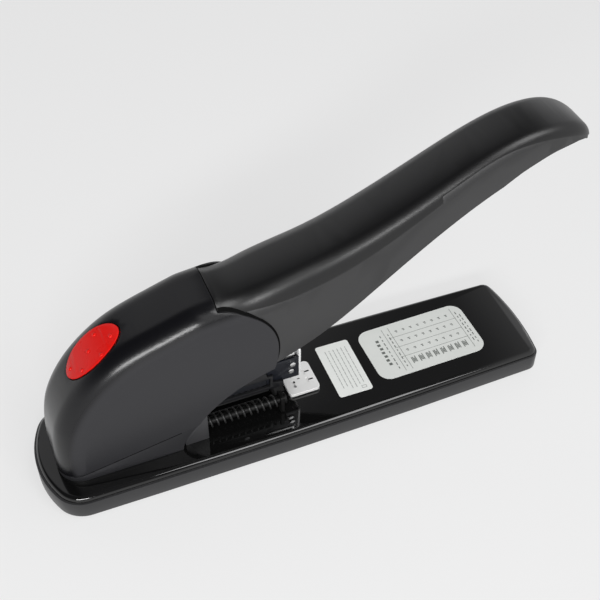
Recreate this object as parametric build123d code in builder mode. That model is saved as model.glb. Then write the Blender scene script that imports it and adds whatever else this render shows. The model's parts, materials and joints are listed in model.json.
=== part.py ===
from build123d import *
import os
from math import cos, radians, sin, tan

os.makedirs("parts", exist_ok=True)

# Heavy-duty long-lever stapler, millimetres. +X runs from the pivot housing towards the paper
# side, +Z is up, and the origin is on the supporting surface under the middle of the base.

# reach of construction shapes that run past the part they cut or bound
far = 60.0
# gap left where one loose piece stands next to another
fit_gap = 0.3

# Base: a tray, a steel chassis inside it and a glossy deck on top
base_length = 285.0
base_half_width = 34.0
widest_x = -38.5
side_bow = 5940.0
rear_bow = 54.0
front_bow = 145.0
rear_corner = 16.4
front_corner = 6.5
corner_reach = 11.0
foot_height = 1.0
foot_recess = 0.5
foot_radius = 7.0
foot_inset_x = 24.0
foot_y = 20.0
tray_height = 11.0
tray_wall = 2.4
tray_floor = 2.0
tray_edge = 1.0
chassis_thick = 2.5
chassis_rear_x = -122.0
chassis_front_x = 124.0
chassis_half_width = 26.0
chassis_corner = 8.0
deck_thick = 3.0
deck_inset = 1.2
deck_round = 2.6
base_screw_x = (-98.0, 0.0, 98.0)
base_screw_y = 20.0
screw_radius = 1.6
screw_head_radius = 3.0
screw_head_height = 2.0
screw_recess = 0.5
screw_slot_length = 3.4
screw_slot_width = 0.7
boss_radius = 4.6
screw_clearance = 0.15
screw_depth = 7.0

tray_top = foot_height + tray_height
deck_top = tray_top + deck_thick
chassis_bottom = tray_top - chassis_thick

# Anvil and the two labels on the deck
anvil_x = 4.2
anvil_length = 18.0
anvil_half_width = 10.4
anvil_height = 2.5
anvil_plate_thick = 1.7
anvil_block_inset = 0.5
anvil_corner = 2.5
anvil_edge = 0.2
anvil_slot_offset = 4.0
anvil_rivet_radius = 0.9
anvil_rivet_length = 3.1
groove_spread = 3.0
groove_length = 3.6
groove_width = 1.1
groove_depth = 0.5
label_thick = 0.25
small_label_x = 30.9
small_label_y = -0.9
small_label_length = 19.7
small_label_width = 38.6
small_label_corner = 1.5
small_label_turn = -1.1
table_label_x = 80.0
table_label_y = 0.9
table_label_length = 66.0
table_label_width = 38.0
table_label_corner = 7.0
table_label_turn = 0.6

anvil_top = deck_top + anvil_height

# Joint centres, given along X and Z
pivot_x, pivot_z = -47.0, 72.4
swing_x, swing_z = -104.0, 38.0
pivot_radius = 4.0
swing_radius = 2.5
running_clearance = 0.05

# Rear cover: the shell that houses the pivots
nose_half_width = 21.6
nose_wall = 2.2
nose_round = 13.0
nose_rear_x = -133.0
nose_front_x = -69.0
seam_x = -44.2
ear_radius = 32.0
handle_gap = 0.5
skirt_inset = 0.35
skirt_rear_z = 22.0
skirt_slope = 11.5
cover_screw_inset = 10.5
cover_screw_y = 9.0
cover_screw_length = 18.0
cover_boss_top = 37.0
cover_rib_z = 25.0
crown_land = 3.0
crown_seam_z = pivot_z + ear_radius + crown_land
crown_points = [
    (-129.6, 49.5),
    (-117.0, 72.3),
    (-103.6, 85.4),
    (-90.0, crown_seam_z - 13.4),
    (-68.0, crown_seam_z - 5.2),
]
crown_end_slope = 0.1
crown_steps = 10
mouth_points = [(-30.1, 56.2), (-48.0, 47.2), (-62.0, 33.6), (-67.6, 22.5)]
mouth_tip_angle = -22.5

# Steel frame inside the cover
frame_outer = 19.0
frame_thick = 1.8
frame_rear_x = -112.0
frame_front_x = -72.0
frame_web = 2.0
frame_pocket_gap = 0.5
frame_eye = 12.0
frame_screw_spots = [(x, y) for x in (-106.0, -78.0) for y in (-12.0, 12.0)]
frame_top_points = [(-112.0, 52.0), (-97.0, 74.0), (-78.0, 83.0)]
frame_throat_points = [(-62.0, 44.0), (-71.0, 30.0)]
pin_edge = 0.3
crossbar_x, crossbar_z = -67.0, 69.6
crossbar_radius = 3.0

# Handle: sections along X as (x, half width, top, bottom, upper edge radius)
handle_sections = [
    (-46.0, 21.2, crown_seam_z + 0.1, 56.0, 12.5),
    (-20.0, 21.0, crown_seam_z + 1.6, 59.0, 12.0),
    (10.0, 20.3, 116.0, 72.0, 11.0),
    (43.0, 19.3, 127.8, 94.5, 9.5),
    (75.0, 18.0, 143.0, 116.5, 8.0),
    (107.0, 17.0, 157.0, 134.5, 7.0),
    (130.0, 16.6, 161.0, 143.0, 6.5),
    (145.0, 15.0, 158.6, 143.5, 6.0),
    (154.5, 11.0, 152.5, 140.5, 5.0),
    (159.8, 5.0, 145.5, 139.0, 2.5),
]
# seam between the handle's cap and its shell, with a small step at the end of the lever
seam_rear_points = [
    (-56.0, crown_seam_z - 8.4),
    (-20.0, crown_seam_z - 5.4),
    (22.0, 110.5),
    (47.0, 121.8),
    (72.0, 135.4),
]
seam_front_points = [
    (72.0, 138.4),
    (88.0, 146.6),
    (107.0, 154.2),
    (128.0, 156.4),
    (145.0, 153.0),
    (166.0, 137.0),
]
handle_wall = 2.2
panel_inset = 0.5
underside_start_x = 24.0
tongue_radius = ear_radius - 2.8
tongue_thick = 2.0
tongue_half_width = 13.0
tongue_front = radians(62)
tongue_rear = radians(124)
tongue_rib_length = 5.0
tongue_rib_reach = 4.5

# Steel lever inside the handle
lever_outer = 15.1
lever_thick = 2.5
lever_eye = 11.0
load_x, load_z = -0.6, 84.8
load_radius = 3.0
core_pins = [(20.0, 99.0, 18.8), (58.0, 120.0, 17.5)]
core_pin_radius = 2.5
bush_wall = 1.5
washer_reach = 1.0
spacer_wall = 2.0
roller_wall = 2.0
side_gap = 0.2
handle_screws = [(88.0, 124.0, 137.0), (127.0, 142.4, 152.0)]

# Magazine: staple channel and its carrier, raised above the anvil
crown_width = 13.0
channel_clearance = 0.5
channel_sheet = 1.2
channel_bottom = 30.0
channel_top = 45.0
channel_rear_x = -109.0
channel_front_x = -17.5
carrier_web_rear_x = -91.5
carrier_web_front_x = -25.0
carrier_sheet = 1.6
carrier_gap = 0.3
carrier_bottom = 28.0
carrier_top = 47.0
carrier_rear_x = -108.0
carrier_front_x = -8.5
carrier_slot_rear_x = -60.0
carrier_slot_front_x = -16.0
strip_height = 2.0
slot_height = 6.3
slot_end_wall = 1.5
toe_front_height = 3.5
toe_rear_height = 4.5
step_x = -17.5
cheek_front_x = -20.0
rivet_spots = [(-76.0, 40.0), (-30.0, 41.5)]
small_rivet = 1.5

# Latch on top of the carrier and the guide for the driver blade
latch_x, latch_z = -88.0, 51.5
latch_pin_radius = 1.5
latch_hub = 3.0
latch_gap = 0.5
lug_inner = 3.5
lug_outer = 5.0
lug_radius = 3.5
hook_x = -94.5
hook_rear = 1.5
hook_front = 1.0
pad_thick = 2.5
pad_rear = 4.4
pad_front = 2.5
arm_x = -80.0
pocket_length = 4.0
pocket_depth = 1.8
guide_foot_rear_x = -30.0
guide_foot_thick = 1.5
guide_rear_x = -0.9
guide_front_x = 1.9
guide_sheet = 1.5
guide_half_width = 8.0
guide_collar_z = 51.0
guide_top = 63.0
guide_window_width = 10.0
guide_window_margin = 2.5

# Driver: the blade and the holder that the drive pin runs in
holder_half_width = 9.0
holder_rear_x = -9.0
holder_front_x = 5.0
holder_low_z = 77.0
holder_high_z = 93.0
holder_corner = 1.5
slot_rear_x = -7.9
slot_front_x = 3.2
slot_play = 0.25
driver_rivet_z = 78.9
driver_rivet_radius = 1.25

# Spring that lifts the magazine
lift_spring_x = -84.0
lift_spring_radius = 5.5
lift_spring_wire = 0.7
lift_spring_pitch = 2.9
lift_stud_height = 3.0

# Drawer with the staples, and the driver in front of them
drawer_front_x = 2.2
front_plate_thick = 1.2
front_plate_top = 50.0
front_plate_corner = 1.0
floor_end_x = -1.5
drawer_rivet_spots = [(-3.5, 35.7), (-2.6, 40.5)]
drawer_rivet_proud = 0.7
drawer_rivet_head = 1.6
blade_thick = 1.2
blade_tip = 43.8
blade_half_width = 6.4
blade_top = 80.8
rail_half_width = 5.5
rail_sheet = 1.0
rail_rear_x = -97.0
rail_top = 39.8
rail_front_x = -1.2
rail_wall = 2.0
rail_block_x = -90.0
staple_leg = 9.0
staple_wire = 0.8
strip_rear_x = -41.0
pusher_length = 10.0
pusher_thick = 2.0
pusher_spring_radius = 2.7
pusher_spring_wire = 0.45
pusher_spring_pitch = 2.2
pusher_spring_seat = 0.5
rod_radius = 1.5
rod_z = 36.0

# Sprung paper stop on two guide rods just above the deck
stop_rod_y = 14.5
stop_rod_z = 23.0
stop_rod_radius = 2.0
stop_spring_radius = 3.8
stop_spring_wire = 1.1
stop_spring_pitch = 3.8
stop_spring_seat = 0.1
stop_x = -12.0
stop_thick = 2.0
bracket_rear_x = -67.0
bracket_front_x = -54.2
bracket_outer = 19.1
bracket_inner = 11.0
rod_seat = 8.0
rod_head_reach = 1.0
rod_head_thick = 1.5
stop_low_z = 15.4
stop_ear_half = 3.4
stop_corner = 1.0
stop_strap = 1.2
stop_high_z = 27.0
bracket_top = 38.0
bracket_step_z = 26.5
bracket_step_x = -61.0
bracket_floor = 2.0

# Release button on the slope of the cover
button_x, button_z = -103.6, 84.6
button_slope = 42.0
button_half_length = 17.8
button_half_width = 10.4
button_gap = 0.5
button_proud = 0.7
stem_radius = 4.0
stem_end = 37.5
guide_depth = 20.0
guide_length = 16.0
guide_thick = 2.0
button_spring_wire = 0.5
button_spring_pitch = 2.4
button_spring_gap = 0.6
flange_depth = 2.5
flange_thick = 1.2
flange_reach = 1.6
seat_radius = 7.0
seat_depth = 4.8


def base_outline(inset):
    # four arcs with rounded corners, drawn that far inside the tray's outer edge
    half = base_length / 2 - inset
    half_width = base_half_width - inset
    rear_radius = rear_bow - inset
    front_radius = front_bow - inset
    rear_y = half_width - (half + widest_x - corner_reach) ** 2 / (2 * side_bow)
    front_y = half_width - (half - widest_x) ** 2 / (2 * side_bow)
    rear_x = -half + rear_radius - (rear_radius**2 - rear_y**2) ** 0.5
    front_x = half - front_radius + (front_radius**2 - front_y**2) ** 0.5
    with BuildSketch() as outline:
        with BuildLine():
            ThreePointArc((rear_x, rear_y), (widest_x, half_width), (front_x, front_y))
            ThreePointArc((front_x, front_y), (half, 0), (front_x, -front_y))
            ThreePointArc((front_x, -front_y), (widest_x, -half_width), (rear_x, -rear_y))
            ThreePointArc((rear_x, -rear_y), (-half, 0), (rear_x, rear_y))
        make_face()
        fillet(outline.vertices().group_by(Axis.X)[0], rear_corner - inset)
        fillet(outline.vertices().group_by(Axis.X)[-1], front_corner - inset)
    return outline.sketch


def side_plane(y):
    # a plane facing -Y whose local axes are X and Z
    return Plane(origin=(0, y, 0), x_dir=(1, 0, 0), z_dir=(0, -1, 0))


def across(x, z):
    # a plane through (x, z) whose normal is Y
    return Plane(origin=(x, 0, z), x_dir=(1, 0, 0), z_dir=(0, -1, 0))


def bore(x, z, radius, half_width=far):
    # a hole right across the part being built, along Y
    with BuildSketch(across(x, z)) as hole:
        Circle(radius)
    extrude(hole.sketch, amount=half_width, both=True, mode=Mode.SUBTRACT)


def rod(x, z, radius, half_width):
    # a solid round bar along Y, added to the part being built
    with BuildSketch(across(x, z)) as face:
        Circle(radius)
    extrude(face.sketch, amount=half_width, both=True)


def finish(piece, label):
    piece.part.label = label
    export_step(piece.part, f"parts/{label}.step")


# Base

screw_spots = [(x, y) for x in base_screw_x for y in (-base_screw_y, base_screw_y)]
foot_x = base_length / 2 - foot_inset_x
foot_spots = [(0, 0)] + [(x, y) for x in (-foot_x, foot_x) for y in (-foot_y, foot_y)]
cover_screw_spots = [(nose_rear_x + cover_screw_inset, y) for y in (-cover_screw_y, cover_screw_y)]
screw_hole = screw_radius + screw_clearance

with BuildPart() as base_tray:
    with BuildSketch(Plane.XY.offset(foot_height)):
        add(base_outline(0))
    extrude(amount=tray_height)
    chamfer(base_tray.faces().sort_by(Axis.Z)[0].edges(), tray_edge)
    with BuildSketch(Plane.XY.offset(foot_height + tray_floor)):
        add(base_outline(tray_wall))
    extrude(amount=tray_height, mode=Mode.SUBTRACT)
    with BuildSketch(Plane.XY.offset(foot_height)):
        with Locations(*screw_spots):
            Circle(boss_radius)
    extrude(amount=chassis_bottom - foot_height)
    with Locations(Plane.XY.offset(foot_height) * Rotation(180, 0, 0)):
        with Locations(*screw_spots):
            CounterBoreHole(
                screw_hole,
                screw_head_radius + screw_clearance,
                screw_head_height + screw_recess,
                tray_height,
            )
    with BuildSketch(Plane.XY.offset(foot_height)):
        with Locations(*foot_spots):
            Circle(foot_radius)
    extrude(amount=foot_recess, mode=Mode.SUBTRACT)
finish(base_tray, "base_tray")

with BuildPart() as rubber_feet:
    with BuildSketch():
        with Locations(*foot_spots):
            Circle(foot_radius)
    extrude(amount=foot_height + foot_recess)
    chamfer(rubber_feet.faces().group_by(Axis.Z)[0].edges(), foot_height / 3)
finish(rubber_feet, "rubber_feet")

with BuildPart() as base_chassis:
    with BuildSketch(Plane.XY.offset(chassis_bottom)):
        with Locations(((chassis_rear_x + chassis_front_x) / 2, 0)):
            RectangleRounded(chassis_front_x - chassis_rear_x, 2 * chassis_half_width, chassis_corner)
    extrude(amount=chassis_thick)
    with Locations(Plane.XY.offset(tray_top)):
        with Locations(*screw_spots, *frame_screw_spots):
            Hole(screw_radius, depth=chassis_thick)
finish(base_chassis, "base_chassis")

with BuildPart() as base_screws:
    head_z = foot_height + screw_recess
    with BuildSketch(Plane.XY.offset(head_z)):
        with Locations(*screw_spots):
            Circle(screw_head_radius)
    extrude(amount=screw_head_height)
    with BuildSketch(Plane.XY.offset(head_z)):
        with Locations(*screw_spots):
            Circle(screw_radius)
    extrude(amount=tray_top - head_z)
    with BuildSketch(Plane.XY.offset(head_z)):
        with Locations(*screw_spots):
            Rectangle(screw_slot_length, screw_slot_width)
            Rectangle(screw_slot_width, screw_slot_length)
    extrude(amount=screw_head_height / 2, mode=Mode.SUBTRACT)
finish(base_screws, "base_screws")

frame_span = frame_front_x - frame_rear_x
anvil_block_length = anvil_length - 2 * anvil_block_inset
anvil_block_width = 2 * (anvil_half_width - anvil_block_inset)
anvil_rivet_spots = [(anvil_x - anvil_slot_offset, y) for y in (-anvil_half_width / 2, anvil_half_width / 2)]

with BuildPart() as base_deck:
    with BuildSketch(Plane.XY.offset(tray_top)):
        add(base_outline(deck_inset))
    extrude(amount=deck_thick)
    fillet(base_deck.faces().sort_by(Axis.Z)[-1].edges(), deck_round)
    with BuildSketch(Plane.XY.offset(tray_top)):
        with Locations(((frame_rear_x + frame_front_x) / 2, 0)):
            Rectangle(frame_span + 2 * frame_pocket_gap, 2 * (frame_outer + frame_pocket_gap))
        with Locations((anvil_x, 0)):
            Rectangle(anvil_block_length, anvil_block_width)
        with Locations(*cover_screw_spots):
            Circle(screw_radius)
    extrude(amount=deck_thick, mode=Mode.SUBTRACT)
finish(base_deck, "base_deck")

with BuildPart() as anvil_block:
    with BuildSketch(Plane.XY.offset(tray_top)):
        with Locations((anvil_x, 0)):
            Rectangle(anvil_block_length, anvil_block_width)
    extrude(amount=anvil_top - anvil_plate_thick - tray_top)
    with Locations(Plane.XY.offset(anvil_top - anvil_plate_thick)):
        with Locations(*anvil_rivet_spots):
            Hole(anvil_rivet_radius, depth=deck_thick)
finish(anvil_block, "anvil_block")

with BuildPart() as anvil_plate:
    with BuildSketch(Plane.XY.offset(anvil_top - anvil_plate_thick)):
        with Locations((anvil_x, 0)):
            RectangleRounded(anvil_length, 2 * anvil_half_width, anvil_corner)
    extrude(amount=anvil_plate_thick)
    chamfer(anvil_plate.faces().sort_by(Axis.Z)[-1].edges(), anvil_edge)
    # a pair of crimping grooves on the driver's line and a pair on the pinning line
    with BuildSketch(Plane.XY.offset(anvil_top)):
        for groove_x in (0, anvil_x + anvil_slot_offset):
            with Locations((groove_x, -groove_spread), (groove_x, groove_spread)):
                SlotOverall(groove_length, groove_width, rotation=90)
    extrude(amount=-groove_depth, mode=Mode.SUBTRACT)
    with Locations(Plane.XY.offset(anvil_top)):
        with Locations(*anvil_rivet_spots):
            Hole(anvil_rivet_radius, depth=anvil_plate_thick)
finish(anvil_plate, "anvil_plate")

with BuildPart() as anvil_rivets:
    # the heads lie just under the plate's face
    with BuildSketch(Plane.XY.offset(anvil_top - anvil_rivet_length - anvil_edge / 2)):
        with Locations(*anvil_rivet_spots):
            Circle(anvil_rivet_radius)
    extrude(amount=anvil_rivet_length)
finish(anvil_rivets, "anvil_rivets")

with BuildPart() as small_label:
    with BuildSketch(Plane.XY.offset(deck_top)):
        with Locations(Location((small_label_x, small_label_y, 0), (0, 0, small_label_turn))):
            RectangleRounded(small_label_length, small_label_width, small_label_corner)
    extrude(amount=label_thick)
finish(small_label, "small_label")

with BuildPart() as table_label:
    with BuildSketch(Plane.XY.offset(deck_top)):
        with Locations(Location((table_label_x, table_label_y, 0), (0, 0, table_label_turn))):
            RectangleRounded(table_label_length, table_label_width, table_label_corner)
    extrude(amount=label_thick)
finish(table_label, "table_label")


# Rear cover and skirt

ear_top_z = pivot_z + (ear_radius**2 - (seam_x - pivot_x) ** 2) ** 0.5
mouth_tip = (
    pivot_x + ear_radius * cos(radians(mouth_tip_angle)),
    pivot_z + ear_radius * sin(radians(mouth_tip_angle)),
)

crown = Spline(
    (nose_rear_x, skirt_rear_z),
    *crown_points,
    (seam_x, crown_seam_z),
    tangents=((0, 1), (1, crown_end_slope)),
)


def crown_body(depth):
    # everything under the crown curve, moved inwards by depth, with its upper edges rounded
    half_width = nose_half_width - depth
    places = [step / crown_steps for step in range(crown_steps + 1)]
    points = [crown @ place + depth * Vector((crown % place).Y, -(crown % place).X) for place in places]
    first, last = points[0], points[-1]
    with BuildPart() as body:
        with BuildSketch(side_plane(-half_width)):
            with BuildLine():
                Line((first.X, -far), first)
                Spline(*points, tangents=((0, 1), (1, crown_end_slope)))
                front = (far, last.Y + crown_end_slope * (far - last.X))
                Polyline(last, front, (far, -far), (first.X, -far))
            make_face()
        extrude(amount=-2 * half_width)
        upper = body.edges().filter_by(lambda e: abs(abs(e.center().Y) - half_width) < 0.01)
        upper = upper.filter_by(lambda e: e.center().Z > -far * 0.7)
        upper = upper.filter_by(lambda e: e.center().X < far - 1)
        fillet(upper, nose_round - depth)
    return body.part


nose_outer = crown_body(0)
nose_inner = crown_body(nose_wall)


def parting_z(x):
    return skirt_rear_z + (x - nose_rear_x) * tan(radians(skirt_slope))


def cover_side():
    # side outline of the cover: ear circle in front, curved mouth below it, deck at the bottom
    with BuildSketch() as side:
        with BuildLine():
            Line((nose_rear_x - far, deck_top), (nose_rear_x - far, far * 2))
            Line((nose_rear_x - far, far * 2), (seam_x, far * 2))
            Line((seam_x, far * 2), (seam_x, ear_top_z))
            ThreePointArc(
                (seam_x, ear_top_z),
                (pivot_x + ear_radius, pivot_z),
                mouth_tip,
            )
            Spline(mouth_tip, *mouth_points, (nose_front_x, deck_top))
            Line((nose_front_x, deck_top), (nose_rear_x - far, deck_top))
        make_face()
    return side.sketch


slope_sin, slope_cos = sin(radians(button_slope)), cos(radians(button_slope))


def button_plane(along_normal):
    # square to the slope under the button, with its X axis up the slope
    return Plane(
        origin=(button_x - slope_sin * along_normal, 0, button_z + slope_cos * along_normal),
        x_dir=(slope_cos, 0, slope_sin),
        z_dir=(-slope_sin, 0, slope_cos),
    )


cover_face = cover_side()
cover_boss_reach = nose_wall / 2 - cover_screw_inset

with BuildPart() as above_parting:
    with BuildSketch(side_plane(-far)):
        Polygon(
            (nose_rear_x - far, parting_z(nose_rear_x - far)),
            (far, parting_z(far)),
            (far, far * 3),
            (nose_rear_x - far, far * 3),
            align=None,
        )
    extrude(amount=-2 * far)

with BuildPart() as rear_cover:
    with BuildSketch(side_plane(-far)):
        add(cover_face)
    extrude(amount=-2 * far)
    add(nose_outer, mode=Mode.INTERSECT)
    add(nose_inner, mode=Mode.SUBTRACT)
    add(above_parting.part, mode=Mode.INTERSECT)
    with BuildSketch(button_plane(-far / 4)):
        Ellipse(button_half_length + button_gap, button_half_width + button_gap)
    extrude(amount=far / 2, mode=Mode.SUBTRACT)
    # screw bosses, each tied to the rear wall by a rib
    with BuildSketch(Plane.XY.offset(deck_top)):
        with Locations(*cover_screw_spots):
            Circle(boss_radius)
    extrude(amount=cover_boss_top - deck_top)
    with BuildSketch(Plane.XY.offset(cover_rib_z)):
        with Locations(*cover_screw_spots):
            with Locations((cover_boss_reach / 2, 0)):
                Rectangle(-cover_boss_reach, nose_wall)
    extrude(amount=cover_boss_top - cover_rib_z)
    with Locations(Plane.XY.offset(deck_top) * Rotation(180, 0, 0)):
        with Locations(*cover_screw_spots):
            Hole(screw_radius, depth=cover_screw_length)
finish(rear_cover, "rear_cover")

skirt_outer = crown_body(skirt_inset)

with BuildPart() as cover_skirt:
    with BuildSketch(side_plane(-far)):
        add(cover_face)
    extrude(amount=-2 * far)
    add(skirt_outer, mode=Mode.INTERSECT)
    add(nose_inner, mode=Mode.SUBTRACT)
    add(above_parting.part, mode=Mode.SUBTRACT)
finish(cover_skirt, "cover_skirt")

with BuildPart() as cover_screws:
    with BuildSketch(Plane.XY.offset(deck_top - deck_thick)):
        with Locations(*cover_screw_spots):
            Circle(screw_radius)
    extrude(amount=deck_thick + cover_screw_length)
finish(cover_screws, "cover_screws")


# Handle

def handle_section(x, half_width, top, bottom, edge_round):
    with BuildSketch(Plane(origin=(x, 0, 0), x_dir=(0, 1, 0), z_dir=(1, 0, 0))) as section:
        with BuildLine():
            Polyline(
                (-half_width, bottom),
                (-half_width, top - edge_round),
            )
            RadiusArc((-half_width, top - edge_round), (edge_round - half_width, top), edge_round)
            Line((edge_round - half_width, top), (half_width - edge_round, top))
            RadiusArc((half_width - edge_round, top), (half_width, top - edge_round), edge_round)
            Line((half_width, top - edge_round), (half_width, bottom))
            Line((half_width, bottom), (-half_width, bottom))
        make_face()
    return section.sketch


def handle_body(side_inset, top_inset, bottom_inset, end_inset):
    with BuildPart() as body:
        for x, half_width, top, bottom, edge_round in handle_sections:
            lift = bottom_inset if x > underside_start_x else -bottom_inset * 6
            last = x > handle_sections[-2][0]
            add(
                handle_section(
                    x - (end_inset if last else 0),
                    half_width - side_inset,
                    top - top_inset,
                    bottom + lift,
                    max(edge_round - side_inset, 0.8),
                )
            )
        loft()
    return body.part


handle_outer = handle_body(0, 0, 0, 0)
handle_inner = handle_body(handle_wall, handle_wall * 1.2, handle_wall, handle_wall * 1.3)
handle_panel = handle_body(panel_inset, panel_inset, 0, panel_inset)


def seam_region():
    # everything above the seam between the handle's cap and its lower shell
    first, last = seam_rear_points[0], seam_front_points[-1]
    with BuildPart() as region:
        with BuildSketch(side_plane(-far)):
            with BuildLine():
                Spline(*seam_rear_points)
                Line(seam_rear_points[-1], seam_front_points[0])
                Spline(*seam_front_points)
                Polyline(last, (last[0], far * 4), (first[0], far * 4), first)
            make_face()
        extrude(amount=-2 * far)
    return region.part


above_seam = seam_region()

with BuildPart() as ear_bore:
    with BuildSketch(across(pivot_x, pivot_z)):
        Circle(ear_radius + handle_gap)
    extrude(amount=far, both=True)
    with BuildSketch(side_plane(-far)):
        Polygon(
            (seam_x + handle_gap - far, 0),
            (seam_x + handle_gap, 0),
            (seam_x + handle_gap, far * 2.5),
            (seam_x + handle_gap - far, far * 2.5),
            align=None,
        )
    extrude(amount=-2 * far)


def handle_boss(x, low, high, radius):
    with BuildPart(mode=Mode.PRIVATE) as boss:
        with BuildSketch(Plane.XY.offset(low)):
            with Locations((x, 0)):
                Circle(radius)
        extrude(amount=high - low)
    return boss.part & handle_panel


with BuildSketch() as tongue_face:
    Circle(tongue_radius)
    Circle(tongue_radius - tongue_thick, mode=Mode.SUBTRACT)
    Polygon(
        (0, 0),
        (far * cos(tongue_front), far * sin(tongue_front)),
        (0, far * 2),
        (far * cos(tongue_rear), far * sin(tongue_rear)),
        align=None,
        mode=Mode.INTERSECT,
    )

with BuildPart() as tongue_rib:
    with BuildSketch(across(seam_x + handle_gap + tongue_rib_length / 2, pivot_z + tongue_radius)):
        Rectangle(tongue_rib_length, 2 * tongue_rib_reach)
    extrude(amount=tongue_half_width, both=True)
    add(handle_outer, mode=Mode.INTERSECT)

with BuildPart() as handle_cap:
    add(handle_outer)
    add(handle_inner, mode=Mode.SUBTRACT)
    add(above_seam, mode=Mode.INTERSECT)
    add(ear_bore.part, mode=Mode.SUBTRACT)
    for screw_x, low, middle in handle_screws:
        add(handle_boss(screw_x, middle, middle + far, boss_radius - 1))
        with BuildSketch(Plane.XY.offset(middle)):
            with Locations((screw_x, 0)):
                Circle(screw_radius)
        extrude(amount=screw_depth, mode=Mode.SUBTRACT)
    # tongue that keeps the top seam closed as the handle swings, and the rib that carries it
    add(tongue_rib.part)
    with BuildSketch(across(pivot_x, pivot_z)):
        add(tongue_face.sketch)
    extrude(amount=tongue_half_width, both=True)
finish(handle_cap, "handle_cap")

with BuildPart() as handle_shell:
    add(handle_panel)
    add(handle_inner, mode=Mode.SUBTRACT)
    add(above_seam, mode=Mode.SUBTRACT)
    add(ear_bore.part, mode=Mode.SUBTRACT)
    for screw_x, low, middle in handle_screws:
        add(handle_boss(screw_x, low - far / 6, middle, boss_radius))
        with BuildSketch(Plane.XY.offset(middle)):
            with Locations((screw_x, 0)):
                Circle(screw_hole)
        extrude(amount=-far, mode=Mode.SUBTRACT)
        with BuildSketch(Plane.XY.offset(low + 2 * screw_head_height)):
            with Locations((screw_x, 0)):
                Circle(screw_head_radius + screw_clearance)
        extrude(amount=-far, mode=Mode.SUBTRACT)
    for pin_x, pin_z, reach in core_pins:
        bore(pin_x, pin_z, core_pin_radius, reach)
finish(handle_shell, "handle_shell")

# Steel lever, its pins and the return spring

lever_top_points = [(-22.0, 100.0), (0.0, 105.0), (30.0, 114.5), (60.0, 127.5), (70.0, 132.0)]
lever_low_points = [(-22.0, 66.0), (0.0, 74.5), (28.0, 93.0), (56.0, 112.0), (70.0, 122.0)]


def lever_outline():
    with BuildSketch() as outline:
        with BuildLine():
            upper = Spline(
                (pivot_x, pivot_z + lever_eye),
                *lever_top_points,
                tangents=((1, 0.6), (1, 0.45)),
            )
            lower = Spline(
                (pivot_x, pivot_z - lever_eye),
                *lever_low_points,
                tangents=((1, 0.05), (1, 0.75)),
            )
            Line(upper @ 1, lower @ 1)
            ThreePointArc(upper @ 0, (pivot_x - lever_eye, pivot_z), lower @ 0)
        make_face()
    return outline.sketch


lever_inner = lever_outer - lever_thick
with BuildPart() as handle_lever:
    with BuildSketch(side_plane(-lever_outer)):
        add(lever_outline())
    extrude(amount=-2 * lever_outer)
    # the channel between the two arms stays open at the bottom and behind the web
    with BuildSketch(side_plane(-lever_inner)):
        with BuildLine():
            web = Spline(*[(x, z - lever_thick * 1.15) for x, z in lever_top_points])
            Polyline(
                web @ 1,
                (far * 2, far * 2.4),
                (far * 2, 0),
                (-far * 2, 0),
                (-far * 2, far * 2),
                (lever_top_points[0][0], far * 2),
                web @ 0,
            )
        make_face()
    extrude(amount=-2 * lever_inner, mode=Mode.SUBTRACT)
    bore(pivot_x, pivot_z, pivot_radius + running_clearance)
    bore(load_x, load_z, load_radius)
    for pin_x, pin_z, reach in core_pins:
        bore(pin_x, pin_z, core_pin_radius)
finish(handle_lever, "handle_lever")

with BuildPart() as handle_screw_set:
    for screw_x, low, middle in handle_screws:
        with BuildSketch(Plane.XY.offset(low + screw_head_height)):
            with Locations((screw_x, 0)):
                Circle(screw_head_radius)
        extrude(amount=screw_head_height)
        with BuildSketch(Plane.XY.offset(low + screw_head_height)):
            with Locations((screw_x, 0)):
                Circle(screw_radius)
        extrude(amount=middle + screw_depth - low - screw_head_height)
finish(handle_screw_set, "handle_screws")

with BuildPart() as lever_pins:
    for pin_x, pin_z, reach in core_pins:
        rod(pin_x, pin_z, core_pin_radius, reach)
finish(lever_pins, "lever_pins")

frame_inner = frame_outer - frame_thick
bush_radius = pivot_radius + bush_wall

with BuildPart() as handle_pivot_pin:
    rod(pivot_x, pivot_z, pivot_radius, frame_outer)
    chamfer(handle_pivot_pin.edges(), pin_edge)
finish(handle_pivot_pin, "handle_pivot_pin")

with BuildPart() as pivot_bush:
    rod(pivot_x, pivot_z, bush_radius, lever_inner)
    bore(pivot_x, pivot_z, pivot_radius + running_clearance)
finish(pivot_bush, "pivot_bush")

with BuildPart() as pivot_washers:
    rod(pivot_x, pivot_z, bush_radius + washer_reach, frame_inner)
    bore(pivot_x, pivot_z, pivot_radius + running_clearance)
    bore(pivot_x, pivot_z, far / 2, lever_outer + side_gap)
finish(pivot_washers, "pivot_washers")


def coil(start, direction, length, pitch, mean_radius, wire_radius):
    # a plain round-wire coil spring
    path = Helix(pitch=pitch, height=length, radius=mean_radius, center=start, direction=direction)
    with BuildPart(mode=Mode.PRIVATE) as spring:
        with BuildSketch(Plane(origin=path @ 0, z_dir=path % 0)):
            Circle(wire_radius)
        sweep(path=path, is_frenet=True)
    return spring.part


def wire(start, end, radius):
    direction = Vector(*end) - Vector(*start)
    with BuildPart(mode=Mode.PRIVATE) as leg:
        with BuildSketch(Plane(origin=start, z_dir=direction)):
            Circle(radius)
        extrude(amount=direction.length)
    return leg.part


torsion_wire = 1.0
torsion_radius = bush_radius + torsion_wire + 0.7
torsion_half = 5.75
torsion_pitch = 2.3
torsion_hook = 4.0
torsion_angle = radians(28.5)
torsion_leg = 37.0

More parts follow.
